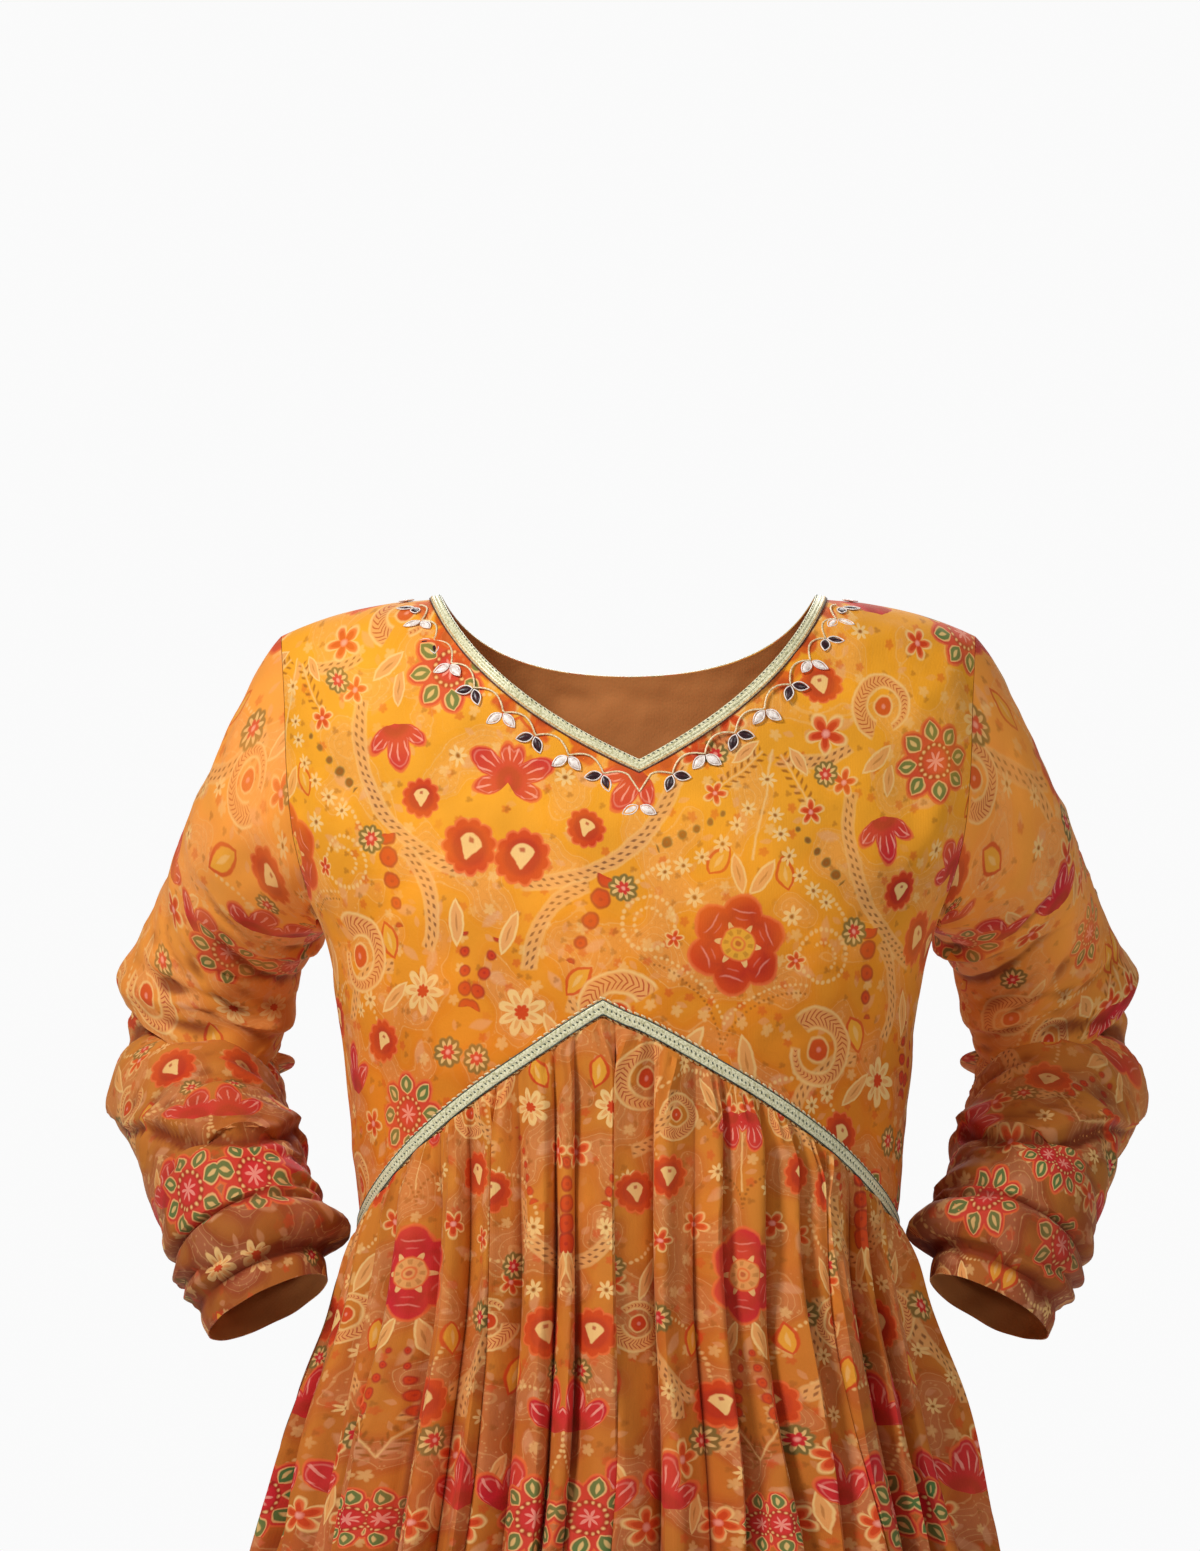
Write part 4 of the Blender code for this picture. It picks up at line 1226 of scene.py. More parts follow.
# facing 0 is outwards, 90 is front, 180 is to the body
SLEEVE_FOLDS = [Fold(*row) for row in (
    (0.160, 0.0040, 0.020, 0.020, 170, 70, 0.020),
    (0.185, 0.0034, 0.014, 0.010, 105, 40, 0.060),
    (0.205, -0.0040, 0.012, 0.012, 125, 45, 0.045),
    (0.245, 0.0050, 0.020, 0.010, 150, 50, 0.050),
    (0.290, -0.0040, 0.010, 0.014, 135, 50, 0.060),
    (0.318, 0.0036, 0.014, 0.008, 105, 38, 0.070),
    (0.345, 0.0036, 0.018, 0.010, 60, 45, -0.040),
    (0.385, 0.0056, 0.018, 0.008, 145, 48, 0.040),
    (0.408, -0.0042, 0.010, 0.010, 65, 42, -0.030),
    (0.372, 0.0032, 0.014, 0.007, 75, 34, -0.060),
    (0.430, 0.0090, 0.034, 0.016, -5, 70, -0.020),
    (0.476, -0.0060, 0.010, 0.012, 10, 60, -0.020),
    (0.526, -0.0175, 0.016, 0.022, 105, 85),
    (0.530, 0.0035, 0.008, 0.006, 60, 30, 0.030),
    (0.548, 0.0150, 0.010, 0.008, 182, 20),
    (0.575, 0.0050, 0.010, 0.007, 140, 35, 0.030),
    (0.600, 0.0085, 0.040, 0.036, 5, 85),
    (0.650, 0.0045, 0.024, 0.020, 95, 50),
    (0.640, -0.0040, 0.007, 0.007, 150, 35, 0.040),
    (0.690, -0.0050, 0.020, 0.020, 172, 40),
    (0.700, 0.0034, 0.012, 0.006, 130, 35, 0.030),
    (0.735, 0.0036, 0.012, 0.006, 50, 30, -0.050),
    (0.765, 0.0040, 0.016, 0.010, 175, 35),
    (0.812, 0.0066, 0.030, 0.0042, 99, 85, 0.047, -0.145),
    (0.828, -0.0044, 0.006, 0.016, 99, 85, 0.047, -0.145),
    (0.850, 0.0018, 0.006, 0.005, 70, 50, 0.030),
    (0.862, -0.0018, 0.005, 0.005, 130, 50, -0.020),
    (0.882, 0.0055, 0.013, 0.005, 165, 45, 0.006),
    (0.884, 0.0042, 0.012, 0.006, 5, 40, 0.006),
    (0.904, -0.0075, 0.005, 0.007, 95, 110, 0.004),
    (0.930, 0.0105, 0.028, 0.018, 165, 90, 0.006),
    (0.926, 0.0050, 0.010, 0.006, 0, 60, 0.010),
    (0.940, -0.0035, 0.004, 0.004, 40, 50, 0.010),
    (0.952, 0.0040, 0.008, 0.005, 15, 60, 0.008),
    (0.966, -0.0055, 0.005, 0.010, 100, 120, -0.004),
)]
Sag = namedtuple("Sag", "share facing above below reach aside forward down")
# where the cloth hangs over itself, and how far it moves
SLEEVE_SAGS = [Sag(*row) for row in (
    (0.455, 112, 0.085, 0.013, 75, 0.000, 0.024, 0.032),
    (0.438, 20, 0.050, 0.018, 45, 0.005, 0.000, 0.008),
    (0.812, 99, 0.040, 0.005, 70, 0.000, 0.002, 0.007),
    (0.893, 90, 0.020, 0.006, 90, 0.000, 0.001, 0.005),
    (0.932, 185, 0.030, 0.020, 55, -0.010, 0.002, 0.006),
    (0.946, 110, 0.016, 0.008, 80, 0.000, 0.003, 0.004),
)]
SMALL_FOLDS = 70
SMALL_FOLD_WIDTHS = (0.0035, 0.0085)
SMALL_FOLD_RISES = (0.0007, 0.0022)
SLEEVE_LENGTH = 0.56
SLEEVE_GIRTH = 0.31
SLEEVE_SEEDS = {1: 5, -1: 8}
SLEEVE_WAVE = 0.0006
CLEAR_FROM = 2 / 27           # share from which the sleeve keeps its full clearance
ARMPIT_ROOM = 0.030           # how far it may dip into the bodice's form over the underarm
SLEEVE_HOLLOW = (6, 5, 0.0018)


def arm_frame(share):
    """Middle, outward, forward and along directions at places down the sleeve."""
    stations = column(ARM, "share")
    points = np.stack([column(ARM, axis) for axis in "xyz"], axis=1)
    step = 0.01
    middle = smooth(stations, points, share)
    along = unit(smooth(stations, points, share + step) - smooth(stations, points, share - step))
    near_cuff = np.clip((share - 0.80) / 0.20, 0.0, 1.0)[:, None]
    along = unit(along * (1 - near_cuff) + unit(np.array(CUFF_TILT)) * near_cuff)
    forward = np.array([0.0, -1.0, 0.0])
    forward = unit(forward - (along @ forward)[:, None] * along)
    outward = np.cross(forward, along)
    return middle, outward, forward, along


def near_fold(fold, share, turn):
    """1 on a fold and fading to 0 above it, below it and to its sides."""
    off = turn - math.radians(fold.facing)
    off = (off + math.pi) % (2 * math.pi) - math.pi
    past = share - fold.share
    if isinstance(fold, Fold):
        past = past - fold.tilt * np.sin(off) - fold.bend * (1.0 - np.cos(off))
    reach = np.exp(-((off / math.radians(fold.reach)) ** 2))
    return reach * np.exp(-((past / np.where(past < 0, fold.above, fold.below)) ** 2))


def fold_rise(folds, share, turn):
    return sum(fold.rise * near_fold(fold, share, turn) for fold in folds)


def sagged(share, turn):
    """How far the cloth has moved where it hangs over itself."""
    moved = np.zeros((*np.broadcast(share, turn).shape, 3))
    for sag in SLEEVE_SAGS:
        moved += near_fold(sag, share, turn)[..., None] * np.array([sag.aside, -sag.forward, -sag.down])
    return moved


def small_folds(seed):
    """Short uneven creases all down the sleeve, closer together towards the wrist."""
    rng = np.random.default_rng(seed)
    for _ in range(SMALL_FOLDS):
        share = 0.17 + 0.79 * rng.random() ** 0.75
        width = rng.uniform(*SMALL_FOLD_WIDTHS)
        rise = rng.choice((-1, 1)) * rng.uniform(*SMALL_FOLD_RISES)
        yield Fold(share, rise, width, width * rng.uniform(0.5, 1.0),
                   rng.uniform(0, 360), rng.uniform(16, 46), rng.uniform(-0.06, 0.06))


def armhole_ring():
    """The bodice's edge round the +X armhole as one ring: down its front, then up its back."""
    rings = []
    for behind in (False, True):
        edge = bodice_places(behind)[SIDE_ROWS:, -1]
        rings.append(on_form(*edge.T) + (0.0, off_seam(behind), 0.0))
    front, back = rings
    underarm, tip = (front[0] + back[0]) / 2, (front[-1] + back[-1]) / 2
    return np.concatenate([[tip], front[-2:0:-1], [underarm], back[1:-1]])


def sleeve_head(start, tube, along, head_rows):
    """Rows of points from the armhole that run smoothly into the tube."""
    span = tube[head_rows] - start
    length = np.linalg.norm(span, axis=1, keepdims=True)
    leave = unit(span / length + (HEAD_LIFT, 0.0, 0.0)) * length
    arrive = along[head_rows] * length
    rows = []
    for t in np.arange(head_rows) / head_rows:
        point = (2 * t**3 - 3 * t**2 + 1) * start + (3 * t**2 - 2 * t**3) * tube[head_rows]
        rows.append(point + (t**3 - 2 * t**2 + t) * leave + (t**3 - t**2) * arrive)
    return np.array(rows)


def sleeve(name, sign, looks):
    head_rows = round(SLEEVE_ROWS * HEAD_SHARE)
    share = np.linspace(0.0, 1.0, SLEEVE_ROWS + 1)
    middle, outward, forward, along = arm_frame(share)
    untwisted = np.clip(share / UNTWISTED_BY, 0.0, 1.0)[:, None]
    twist = HEAD_TWIST * (1.0 - untwisted**2 * (3.0 - 2.0 * untwisted))
    turn = np.linspace(0.0, 2 * math.pi, 2 * ARMHOLE_ROWS, endpoint=False) - twist
    radius = read(ARM, "radius", share)
    folds = (*SLEEVE_FOLDS, *small_folds(SLEEVE_SEEDS[sign]))
    radius = radius[:, None] + fold_rise(folds, share[:, None], turn)
    facing = np.cos(turn)[..., None] * outward[:, None] + np.sin(turn)[..., None] * forward[:, None]
    outer = middle[:, None] + radius[..., None] * facing + sagged(share[:, None], turn)
    ring = armhole_ring() + (SEAM_GAP, 0.0, 0.0)
    outer[:head_rows] = sleeve_head(ring, outer, along, head_rows)
    grown = np.clip(share / CLEAR_FROM, 0.0, 1.0)[:, None]
    nearest = form_side(outer[..., 1], outer[..., 2]) + SLEEVE_CLEARANCE * grown
    nearest -= ARMPIT_ROOM * fade(outer[..., 2], UNDERARM - 0.01, UNDERARM + 0.09)
    outer[1:, :, 0] = np.maximum(outer[1:, :, 0], nearest[1:])
    outer = np.roll(outer, ARMHOLE_ROWS, axis=1)
    away = grid_normals(outer, True)
    away[0] = unit(away[1] * (0.2, 1.0, 1.0))
    rise = SLEEVE_WAVE * wander(outer, 31 + sign, 0.030) * fade(share, 0.0, 0.06)[:, None]
    outer = outer + away * rise[..., None]
    mirrored = (sign, 1.0, 1.0)
    across = np.linspace(-0.5, 0.5, 2 * ARMHOLE_ROWS + 1) * SLEEVE_GIRTH * sign
    cloth = beside(across, -share[:, None] * SLEEVE_LENGTH)
    # fold depth, where shade is painted into the sleeve's colour
    marks = {HOLLOW: hollows(outer, away, *SLEEVE_HOLLOW, closed=True)}
    return shell(name, outer * mirrored, away * mirrored, cloth, looks, closed=True, marks=marks)


# ---------------------------------------------------------------- skirt
PLEAT_WIDTHS = (                          # degrees of the waist seam, from the wearer's right to left
    6.0, 7.0, 11.0, 9.5, 7.5, 10.5, 7.8, 6.4, 5.0, 7.1, 3.8, 6.7,
    5.1, 7.2, 4.9, 8.4, 7.8, 6.6, 10.8, 7.4, 9.6, 10.9, 7.0, 6.0,
)
COMMON_WIDTH = 7.5
Fall = namedtuple("Fall", "share pleat wave")
# how far the pleats and the wide folds stand out, to the hem
SKIRT_FALL = [Fall(*row) for row in (
    (0.00, 0.0034, 0.000),
    (0.02, 0.0078, 0.000),
    (0.05, 0.0112, 0.000),
    (0.09, 0.0140, 0.001),
    (0.15, 0.0162, 0.003),
    (0.26, 0.0185, 0.006),
    (0.44, 0.0190, 0.012),
    (0.70, 0.0196, 0.020),
    (1.00, 0.0206, 0.028),
)]
PLEAT_IN_PRINT = 0.70   # how much of a pleat's depth counts where the print is laid on it
PLEAT_ROUND = 1.7       # how flat a pleat's top is
PLEAT_TUCK = 0.34       # how far its sides close over the valley beside it
VALLEY = 0.22           # how much of a pleat's depth lies below the gown's own form
PLEAT_LEANS = "rrrlllrrlrrrllrrrrlllrrr"      # which way each pleat is pressed
GATHER_DEPTH = 0.0016   # the small gathers between the pleats, just under the seam
GATHER_WIDTH = math.radians(1.9)
GATHER_FALL = 0.050
RIPPLE_DEPTH = 0.0020   # the softer ripples that each pleat carries on its way down
RIPPLE_WIDTH = math.radians(3.1)
PLEAT_LEAN_RANGE = (0.15, 0.34)
PLEAT_STAND_RANGE = (0.90, 1.15)
PLEAT_TILT = 2.4        # how much higher the side it leans to stands
PLEAT_SEEDS = (17, 23)  # front, back
Wander = namedtuple("Wander", "size squeeze seed reach")
PLEATS_UNEVEN = Wander(0.22, 0.13, 41, 0.30)    # in a pleat's depth on its way down
RIPPLES_DRIFT = Wander(2.6, 0.50, 61, 0.22)     # in radians of the ripples' wave
PLEATS_SWAY = Wander(0.020, 0.25, 53, 0.40)     # in radians round the gown
SKIRT_HOLLOW = (2, PLEAT_STEPS // 2, 0.0040)
PRINT_ROWS = 8          # the print's widths are measured on every so many rows


def pleat_profile(steps):
    """(place, sideways, height) across one pleat, all as shares of its width and height."""
    place = (1.0 - np.cos(math.pi * np.arange(steps) / steps)) / 2
    height = 1.0 - np.abs(2 * place - 1) ** PLEAT_ROUND
    sideways = -PLEAT_TUCK * np.sin(2 * math.pi * place) / (2 * math.pi)
    return place, sideways, height


def wandering(kind, across, height, behind):
    return kind.size * wander(beside(across * kind.squeeze, height), kind.seed + behind, kind.reach)


def wide_folds(angle):
    return sum(wave.part * np.cos(wave.count * angle + wave.turn) for wave in WIDE_FOLDS)


def skirt_columns(behind):
    """For each column: its angle at the seam, its pleat's number, its tuck and its height."""
    rng = np.random.default_rng(PLEAT_SEEDS[behind])
    edges = np.radians(np.concatenate([[0.0], np.cumsum(PLEAT_WIDTHS)]))
    edges += math.pi / 2 if behind else -math.pi / 2
    place, sideways, height = pleat_profile(PLEAT_STEPS)
    columns = []
    for number, (start, end, width) in enumerate(zip(edges, edges[1:], PLEAT_WIDTHS)):
        lean = (1 if PLEAT_LEANS[number] == "r" else -1) * rng.uniform(*PLEAT_LEAN_RANGE)
        stand = math.sqrt(width / COMMON_WIDTH) * rng.uniform(*PLEAT_STAND_RANGE)
        moved = (sideways + lean * height) * (end - start)
        tilted = height * stand * (1.0 + PLEAT_TILT * lean * (2 * place - 1))
        for p, m, h in zip(place, moved, tilted):
            columns.append((start + p * (end - start), m, h, number))
    columns.append((edges[-1], 0.0, 0.0, len(PLEAT_WIDTHS)))
    return np.array(columns).T


def skirt(name, behind, looks):
    angle, moved, crest, number = skirt_columns(behind)
    share = np.linspace(0.0, 1.0, SKIRT_ROWS + 1) ** 1.5
    top = waist_height(angle) - SEAM_GAP
    height = top + (HEM_HEIGHT - top) * share[:, None]
    below = top - height
    stands = read(SKIRT_FALL, "pleat", share)[:, None]
    waves = read(SKIRT_FALL, "wave", share)[:, None]
    uneven = 1.0 + wandering(PLEATS_UNEVEN, number, height, behind) * fade(below, 0.02, 0.15)
    rise = stands * (crest * uneven - VALLEY * fade(below, 0.0, 0.05)) + waves * wide_folds(angle)
    gathers = np.cos(2 * math.pi * angle / GATHER_WIDTH + 2.0 * np.sin(9 * angle))
    shown = np.exp(-below / GATHER_FALL) * fade(below, 0.0, 0.004) * (0.4 + 0.6 * fade(crest, 0.2, 0.8))
    rise += GATHER_DEPTH * gathers * shown
    drift = wandering(RIPPLES_DRIFT, angle, height, behind)
    ripples = np.sin(2 * math.pi * angle / RIPPLE_WIDTH + drift)
    rise += RIPPLE_DEPTH * ripples * fade(below, 0.01, 0.10) * (0.5 + below)
    rise += read(SKIRT_HANG, "out", height) * (1.0 - np.exp(-below / HANG_WITHIN))
    sway = wandering(PLEATS_SWAY, angle, height, behind)
    to_edge = np.minimum(np.abs(angle - angle[0]), np.abs(angle[-1] - angle))
    kept = fade(to_edge, 0.0, 0.15)
    full = angle + moved * fade(below, 0.0, 0.03) + sway * kept * fade(below, 0.02, 0.30)
    outer = on_form(full, height, rise)
    outer[..., 1] += off_seam(behind)
    away = grid_normals(outer, False)
    outward = outer * (1.0, 1.0, 0.0)
    if np.einsum("ijk,ijk->", away, outward) < 0:
        away = -away
    away[0, :, 2] = 0.0
    away = unit(away)
    few = np.arange(0, SKIRT_ROWS + 1, PRINT_ROWS)
    spread = on_form(full[few], height[few], (rise - (1.0 - PLEAT_IN_PRINT) * stands * crest)[few])
    steps = np.linalg.norm(np.diff(spread[..., :2], axis=1), axis=-1)
    reference = len(few) * 3 // 7
    across = np.concatenate([[0.0], np.cumsum(steps[reference])])
    across -= np.interp(math.pi if behind else 0.0, angle, across)
    widths = np.interp(np.arange(SKIRT_ROWS + 1), few, steps.sum(axis=1))
    wider = np.maximum(widths / steps[reference].sum(), 1.0)[:, None]
    slope = np.hypot(1.0, np.gradient(form("front", height[:, 0]), height[:, 0])).mean()
    cloth = beside(across * wider, height * slope)
    # fold depth, where shade is painted into the skirt's colour
    marks = {HOLLOW: hollows(outer, away, *SKIRT_HOLLOW)}
    return shell(name, outer, away, cloth, looks, marks=marks)


# ---------------------------------------------------------------- braids and embroidery
def neck_half(sign, behind, inset, steps=150):
    """Half of a line round the neckline as (angle, height), moved off its edge into the cloth."""
    fine = np.linspace(0.0, 1.0, FINE_POINTS)
    places = neck_edge(fine, sign, behind)
    places = on_form(angle_of(*places.T, behind), places[:, 1])
    share = even_shares(places, steps)
    edge, ahead = neck_edge(share, sign, behind), neck_edge(share + 0.001, sign, behind)
    along = unit(ahead - edge)
    into = sign * np.stack([along[:, 1], -along[:, 0]], axis=1)
    into[0] = (0.0, 1.0 / into[0, 1])
    into[-1] = (sign, 0.0)
    line = edge + np.reshape(inset, (-1, 1)) * into
    line[:, 1] = np.minimum(line[:, 1], shoulder_height(line[:, 0]))
    line[-1, 1] = shoulder_height(line[-1, 0])
    return np.stack([angle_of(*line.T, behind), line[:, 1]], axis=1)


def neck_line(inset):
    """The line all round: up the V's wearer's-left side, across the back, and down again."""
    left, right = neck_half(1, False, inset), neck_half(-1, False, inset)
    behind_left, behind_right = neck_half(1, True, inset), neck_half(-1, True, inset)
    return np.concatenate([left, behind_left[-2:0:-1], behind_right[:-1], right[:0:-1]])


def run_along(points, closed=False):
    """Length run at each point of a line, and at its end too if it is closed."""
    if closed:
        points = np.concatenate([points, points[:1]])
    return np.concatenate([[0.0], np.cumsum(np.linalg.norm(np.diff(points, axis=0), axis=1))])


Rib = namedtuple("Rib", "across lift")


def braid(name, place, ribs, look):
    """A closed band. place(across) gives its (points, directions out) at a distance from its
    edge, and the ribs are the heights of its face across it."""
    skins = [place(rib.across) for rib in ribs]
    outer = np.array([
        points + away * (BRAID_TOP + rib.lift) for (points, away), rib in zip(skins, ribs)])
    away = np.array([skin[1] for skin in skins])
    run = run_along(outer[len(ribs) // 2], closed=True)
    cloth = beside(run, column(ribs, "across")[:, None])
    return shell(name, outer, away, cloth, [look], closed=True, thick=BRAID_WALL)


def neck_place(across):
    line = neck_line(across).T
    return on_form(*line), away_from_form(*line)


def waist_angles(count=900):
    """Angles round the waist seam, evenly far apart, with one of them right at the peak."""
    fine = WAIST_PEAK_ANGLE + np.linspace(0.0, 2 * math.pi, 4001)
    run = run_along(on_form(fine, waist_height(fine)))
    return np.interp(np.linspace(0.0, run[-1], count + 1)[:-1], run, fine)


def waist_place(across):
    """The line that runs at a distance above the waist seam."""
    angle = waist_angles()
    height = waist_height(angle)
    points, away = on_form(angle, height), away_from_form(angle, height)
    ahead = unit(np.roll(points, -1, axis=0) - points)
    behind = np.roll(ahead, 1, axis=0)
    up_ahead, up_behind = unit(np.cross(away, ahead)), unit(np.cross(away, behind))
    rise = unit(up_ahead + up_behind)
    rise = rise / np.einsum("ij,ij->i", rise, up_ahead)[:, None]
    return points + rise * across, away


def path(name, points, away, closed=False):
    """A line of points that stitches or a cord can follow."""
    data = bpy.data.meshes.new(name)
    edges = [(i, i + 1) for i in range(len(points) - 1)]
    if closed:
        edges.append((len(points) - 1, 0))
    data.from_pydata(points.tolist(), edges, [])
    tilt = data.attributes.new(TILT, "FLOAT_VECTOR", "POINT")
    tilt.data.foreach_set("vector", away.astype(np.float32).reshape(-1))
    return in_scene(name, data)


class Recipe:
    """What geometry nodes make of a line, with named inputs and its thread's material."""

    def __init__(self, name, **inputs):
        self.tree = bpy.data.node_groups.new(name, "GeometryNodeTree")
        sockets = self.tree.interface
        for way in ("INPUT", "OUTPUT"):
            sockets.new_socket("Geometry", in_out=way, socket_type="NodeSocketGeometry")
        self.inputs = {}
        for label, kind in (*inputs.items(), ("Thread", "Material")):
            socket = sockets.new_socket(label, in_out="INPUT", socket_type="NodeSocket" + kind)
            self.inputs[label] = socket.identifier
        self.given = self.add("NodeGroupInput").outputs

    def add(self, kind, settings=None, **inputs):
        return node(self.tree, kind, settings, **inputs)

    def end(self, made):
        smoothed = self.add("GeometryNodeSetShadeSmooth", Geometry=made.outputs[0])
        realized = self.add("GeometryNodeRealizeInstances", Geometry=smoothed.outputs[0])
        dressed = self.add("GeometryNodeSetMaterial", Geometry=realized.outputs[0],
                           Material=self.given["Thread"])
        self.add("NodeGroupOutput", Geometry=dressed.outputs[0])
        return self


TURN_JITTER = 0.05
SIZE_JITTER = 0.08


def stitches_recipe():
    """Copies of one stitch along a line, each lying on the cloth and turned to run along it."""
    made = Recipe("row_of_stitches", Stitch="Object", Spacing="Float", Turn="Float", Seed="Int")
    given, number = made.given, {"data_type": "FLOAT"}
    line = made.add("GeometryNodeMeshToCurve", Mesh=given["Geometry"])
    even = made.add("GeometryNodeResampleCurve", {"mode": "LENGTH"}, Curve=line.outputs[0],
                    Length=given["Spacing"])
    tilt = made.add("GeometryNodeInputNamedAttribute", {"data_type": "FLOAT_VECTOR"}, Name=TILT)
    along = made.add("GeometryNodeInputTangent")
    stand = made.add("FunctionNodeAxesToRotation", {"primary_axis": "Z", "secondary_axis": "X"},
                     _0=tilt.outputs["Attribute"], _1=along.outputs[0])
    shape = made.add("GeometryNodeObjectInfo", Object=given["Stitch"])
    placed = made.add("GeometryNodeInstanceOnPoints", Points=even.outputs[0],
                      Instance=shape.outputs["Geometry"], Rotation=stand.outputs[0])
    jitter = made.add("FunctionNodeRandomValue", number, _2=-TURN_JITTER, _3=TURN_JITTER,
                      Seed=given["Seed"])
    turn = made.add("ShaderNodeMath", {"operation": "ADD"}, _0=given["Turn"], _1=jitter.outputs[1])
    about = made.add("ShaderNodeCombineXYZ", _2=turn.outputs[0])
    turned = made.add("GeometryNodeRotateInstances", Instances=placed.outputs[0],
                      Rotation=about.outputs[0])
    size = made.add("FunctionNodeRandomValue", number, _2=1.0 - SIZE_JITTER, _3=1.0, Seed=given["Seed"])
    sized = made.add("GeometryNodeScaleInstances", Instances=turned.outputs[0], Scale=size.outputs[1])
    return made.end(sized)


def cord_recipe():
    """A round cord along a line."""
    made = Recipe("sewn_cord", Radius="Float")
    line = made.add("GeometryNodeMeshToCurve", Mesh=made.given["Geometry"])
    ring = made.add("GeometryNodeCurvePrimitiveCircle", Resolution=6, Radius=made.given["Radius"])
    tube = made.add("GeometryNodeCurveToMesh", Curve=line.outputs[0], Profile_Curve=ring.outputs[0],
                    Fill_Caps=True)
    return made.end(tube)


def sewn(obj, recipe, **inputs):
    """The object's line turned into what a recipe makes of it, as a plain mesh."""
    modifier = obj.modifiers.new("sewn", "NODES")
    modifier.node_group = recipe.tree
    for name, value in inputs.items():
        modifier[recipe.inputs[name]] = value
    graph = bpy.context.evaluated_depsgraph_get()
    data = bpy.data.meshes.new_from_object(obj.evaluated_get(graph))
    obj.modifiers.remove(modifier)
    old, obj.data = obj.data, data
    bpy.data.meshes.remove(old)
    data.name = obj.name
    return obj


def circle(sides):
    turn = np.arange(sides) * 2 * math.pi / sides
    return np.cos(turn), np.sin(turn)


def rounded_bar(name, length, width, height, sides=6):
    """A stitch that lies along X on the cloth, thicker in its middle."""
    cos, sin = circle(sides)
    rings = []
    for place, girth in ((-1.0, 0.25), (-0.72, 0.8), (0.0, 1.0), (0.72, 0.8), (1.0, 0.25)):
        along = np.full(sides, place * length / 2)
        rings.append(np.stack([along, cos * girth * width / 2, sin * girth * height / 2], axis=1))
    return solid_of_rings(name, np.array(rings), False)


def looped_cord(name, points, radius, sides=5):
    """A thin cord bent round in a loop through a few points on the cloth."""
    ahead = unit(np.roll(points, -1, axis=0) - np.roll(points, 1, axis=0))
    aside = np.stack([-ahead[:, 1], ahead[:, 0], np.zeros(len(points))], axis=1)
    cos, sin = (part[None, :, None] for part in circle(sides))
    rings = points[:, None] + radius * (cos * aside[:, None] + sin * np.array([0, 0, 1.0]))
    return solid_of_rings(name, rings, True)


def solid_of_rings(name, rings, closed):
    count, sides = rings.shape[:2]
    faces = []
    for r in range(count if closed else count - 1):
        here, there = r * sides, (r + 1) % count * sides
        for s in range(sides):
            t = (s + 1) % sides
            faces.append((here + s, here + t, there + t, there + s))
    if not closed:
        faces += [tuple(range(sides)), tuple((count - 1) * sides + s for s in range(sides))]
    data = bpy.data.meshes.new(name)
    data.from_pydata(rings.reshape(-1, 3).tolist(), [], faces)
    mesh = bmesh.new()
    mesh.from_mesh(data)
    outwards(mesh, data)
    return in_scene(name, data)


def outwards(mesh, data):
    """Turns a mesh's faces outwards and keeps it as data."""
    bmesh.ops.recalc_face_normals(mesh, faces=mesh.faces)
    mesh.to_mesh(data)
    mesh.free()


def petal_half(up, width):
    """Half of a pointed petal's width, at shares of its length."""
    return width / 2 * np.sin(math.pi * up) ** 0.8 * (1.12 - 0.3 * up)


def petal_rim(name, length, width, lift, radius):
    """The cord round a pointed petal that starts at the origin and points along Y."""
    up = np.linspace(0.0, 1.0, 9)
    right = np.stack([petal_half(up, width), up * length, np.full(len(up), lift)], axis=1)
    return looped_cord(name, np.concatenate([right, right[-2:0:-1] * (-1.0, 1.0, 1.0)]), radius)


def petal(name, length, width, height):
    """A padded satin petal, highest along its middle."""
    up, out = np.linspace(0.0, 1.0, 9)[:, None], np.linspace(-1.0, 1.0, 7)
    swell = height * (1 - out**2) * np.sin(math.pi * up) ** 0.5
    top = np.stack(np.broadcast_arrays(out * petal_half(up, width), up * length, swell), axis=-1)
    base = top * (1.0, 1.0, 0.0) - (0.0, 0.0, 0.0002)
    return solid_of_rings(name, np.concatenate([top, base[:, ::-1]], axis=1), False)


# ---------------------------------------------------------------- the whole gown
NECK_RIBS = [Rib(*row) for row in (
    (0.0000, -0.0005), (0.0004, 0.0000), (0.0016, 0.0001), (0.0020, -0.0002), (0.0024, 0.0003),
    (0.0030, 0.0004), (0.0036, 0.0003), (0.0040, -0.0001), (0.0044, 0.0003), (0.0050, 0.0003),
    (0.0056, -0.0001), (0.0060, 0.0001), (0.0066, -0.0005))]
WAIST_RIBS = [Rib(*row) for row in (
    (0.0012, -0.0006), (0.0016, 0.0001), (0.0024, 0.0002), (0.0034, 0.0005), (0.0040, 0.0004),
    (0.0048, 0.0001), (0.0054, 0.0001), (0.0062, 0.0004), (0.0068, 0.0005), (0.0078, 0.0002),
    (0.0086, 0.0001), (0.0090, -0.0006))]


